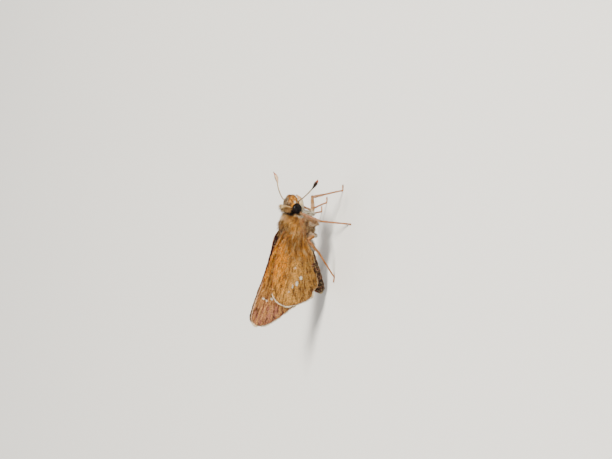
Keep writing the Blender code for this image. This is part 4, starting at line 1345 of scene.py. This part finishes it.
def leg_thorns(name):
    """Claws, spurs and rows of small spines of one leg."""
    knee, ankle, bend, heel, foot = leg_places(name)[2:]
    forward = unit(foot - heel)
    across = np.cross(forward, UP)
    shin = unit(ankle - knee)
    out = unit(np.cross(shin, UP if abs(shin[2]) < 0.9 else FORWARD))
    thorns = []
    for side in (-1, 1):
        claw = unit(forward + across * side * 0.5 + UP * 0.25)
        thorns.append(thorn(foot - forward * 0.05, claw, CLAW_LENGTH, 0.035, 0.55))
        if not name.startswith("fore"):
            thorns.append(thorn(ankle, unit(shin * 0.8 + out * side * 0.75), SPUR_LENGTH, 0.06, 0.05))
        if name.startswith("hind"):
            middle = (knee + ankle * 2) / 3
            thorns.append(thorn(middle, unit(shin + out * side * 0.6), SPUR_LENGTH * 0.8, 0.05, 0.05))
        for first, last, count in ((knee, ankle, 7), (ankle, bend, 14)):
            way = unit(unit(last - first) + out * side * 0.5)
            for t in np.linspace(0.15, 0.95, count):
                thorns.append(thorn(first + (last - first) * t, way, SPINE_LENGTH, 0.022, 0.0))
    return thorns


def claws_and_spurs():
    """All the hard points of the six legs, as one piece."""
    forms = [form for name in LEGS for form in leg_thorns(name)]
    batches = [(form.points, form.faces, mixed(AMBER, UMBER, form.shares)) for form in forms]
    points, faces, colours = gathered(batches)
    piece_of("claws_and_spurs", points, faces, SHELL, colours)


# Studio

def floor():
    """A plain pale floor, which is no part of the animal."""
    bpy.ops.mesh.primitive_circle_add(vertices=96, radius=FLOOR_RADIUS, fill_type="NGON")
    ground = bpy.context.object
    ground.name = "floor"
    ground.data.materials.append(material_of("floor", {"Base Color": FLOOR_COLOUR, "Roughness": 0.85}))


def light(name, place, size, power, colour):
    """A soft square lamp that faces the animal."""
    lamp = bpy.data.lights.new(name, "AREA")
    lamp.size = size
    lamp.energy = power
    lamp.color = colour
    made = bpy.data.objects.new(name, lamp)
    made.location = place
    made.rotation_mode = "QUATERNION"
    made.rotation_quaternion = Vector(place).to_track_quat("Z", "Y")
    bpy.context.scene.collection.objects.link(made)


def camera():
    """The photo's view, rolled so that the head points up in the picture."""
    back = np.array((0, -math.cos(VIEW_ELEVATION), math.sin(VIEW_ELEVATION)))
    level = np.array((0, math.sin(VIEW_ELEVATION), math.cos(VIEW_ELEVATION)))
    right = FORWARD * math.cos(VIEW_ROLL) - level * math.sin(VIEW_ROLL)
    up = FORWARD * math.sin(VIEW_ROLL) + level * math.cos(VIEW_ROLL)
    place = (right * VIEW_CENTRE[0] + up * VIEW_CENTRE[1] + back * VIEW_DISTANCE + OFFSET) * MM
    lens = bpy.data.cameras.new("camera")
    lens.lens = LENS
    lens.clip_start = 0.01
    made = bpy.data.objects.new("camera", lens)
    made.matrix_world = Matrix.Translation(Vector(place)) @ Matrix(np.stack((right, up, back), -1)).to_4x4()
    bpy.context.scene.collection.objects.link(made)
    bpy.context.scene.camera = made


def studio():
    """Three soft lamps round the animal, under a dim pale sky."""
    light("key", (0.3, -0.3, 0.7), 0.3, 17, (1.0, 0.95, 0.86))
    light("fill", (-0.2, -0.8, 0.3), 0.6, 3, (1.0, 0.97, 0.93))
    light("rim", (-0.3, 0.6, 0.5), 0.4, 3, (1.0, 0.98, 0.95))
    world = bpy.data.worlds.new("studio")
    world.use_nodes = True
    sky = world.node_tree.nodes["Background"]
    sky.inputs["Color"].default_value = SKY_COLOUR
    sky.inputs["Strength"].default_value = 0.3
    bpy.context.scene.world = world


def main():
    """Makes every piece, then the studio and the camera."""
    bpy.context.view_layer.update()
    skin = make_skin()
    skin_piece(skin)
    for coat in (head_coat, collar_coat, thorax_coat, abdomen_coat, palp_coat, leg_coat):
        coat(skin)
    for kind, shape in WINGS.items():
        wing = with_lines(shape)
        for side in SIDES:
            membrane(kind, wing, side)
            wing_coat(kind, wing, side)
    for side in SIDES:
        eye(side)
        antenna(side)
    tongue()
    claws_and_spurs()
    floor()
    studio()
    camera()


main()
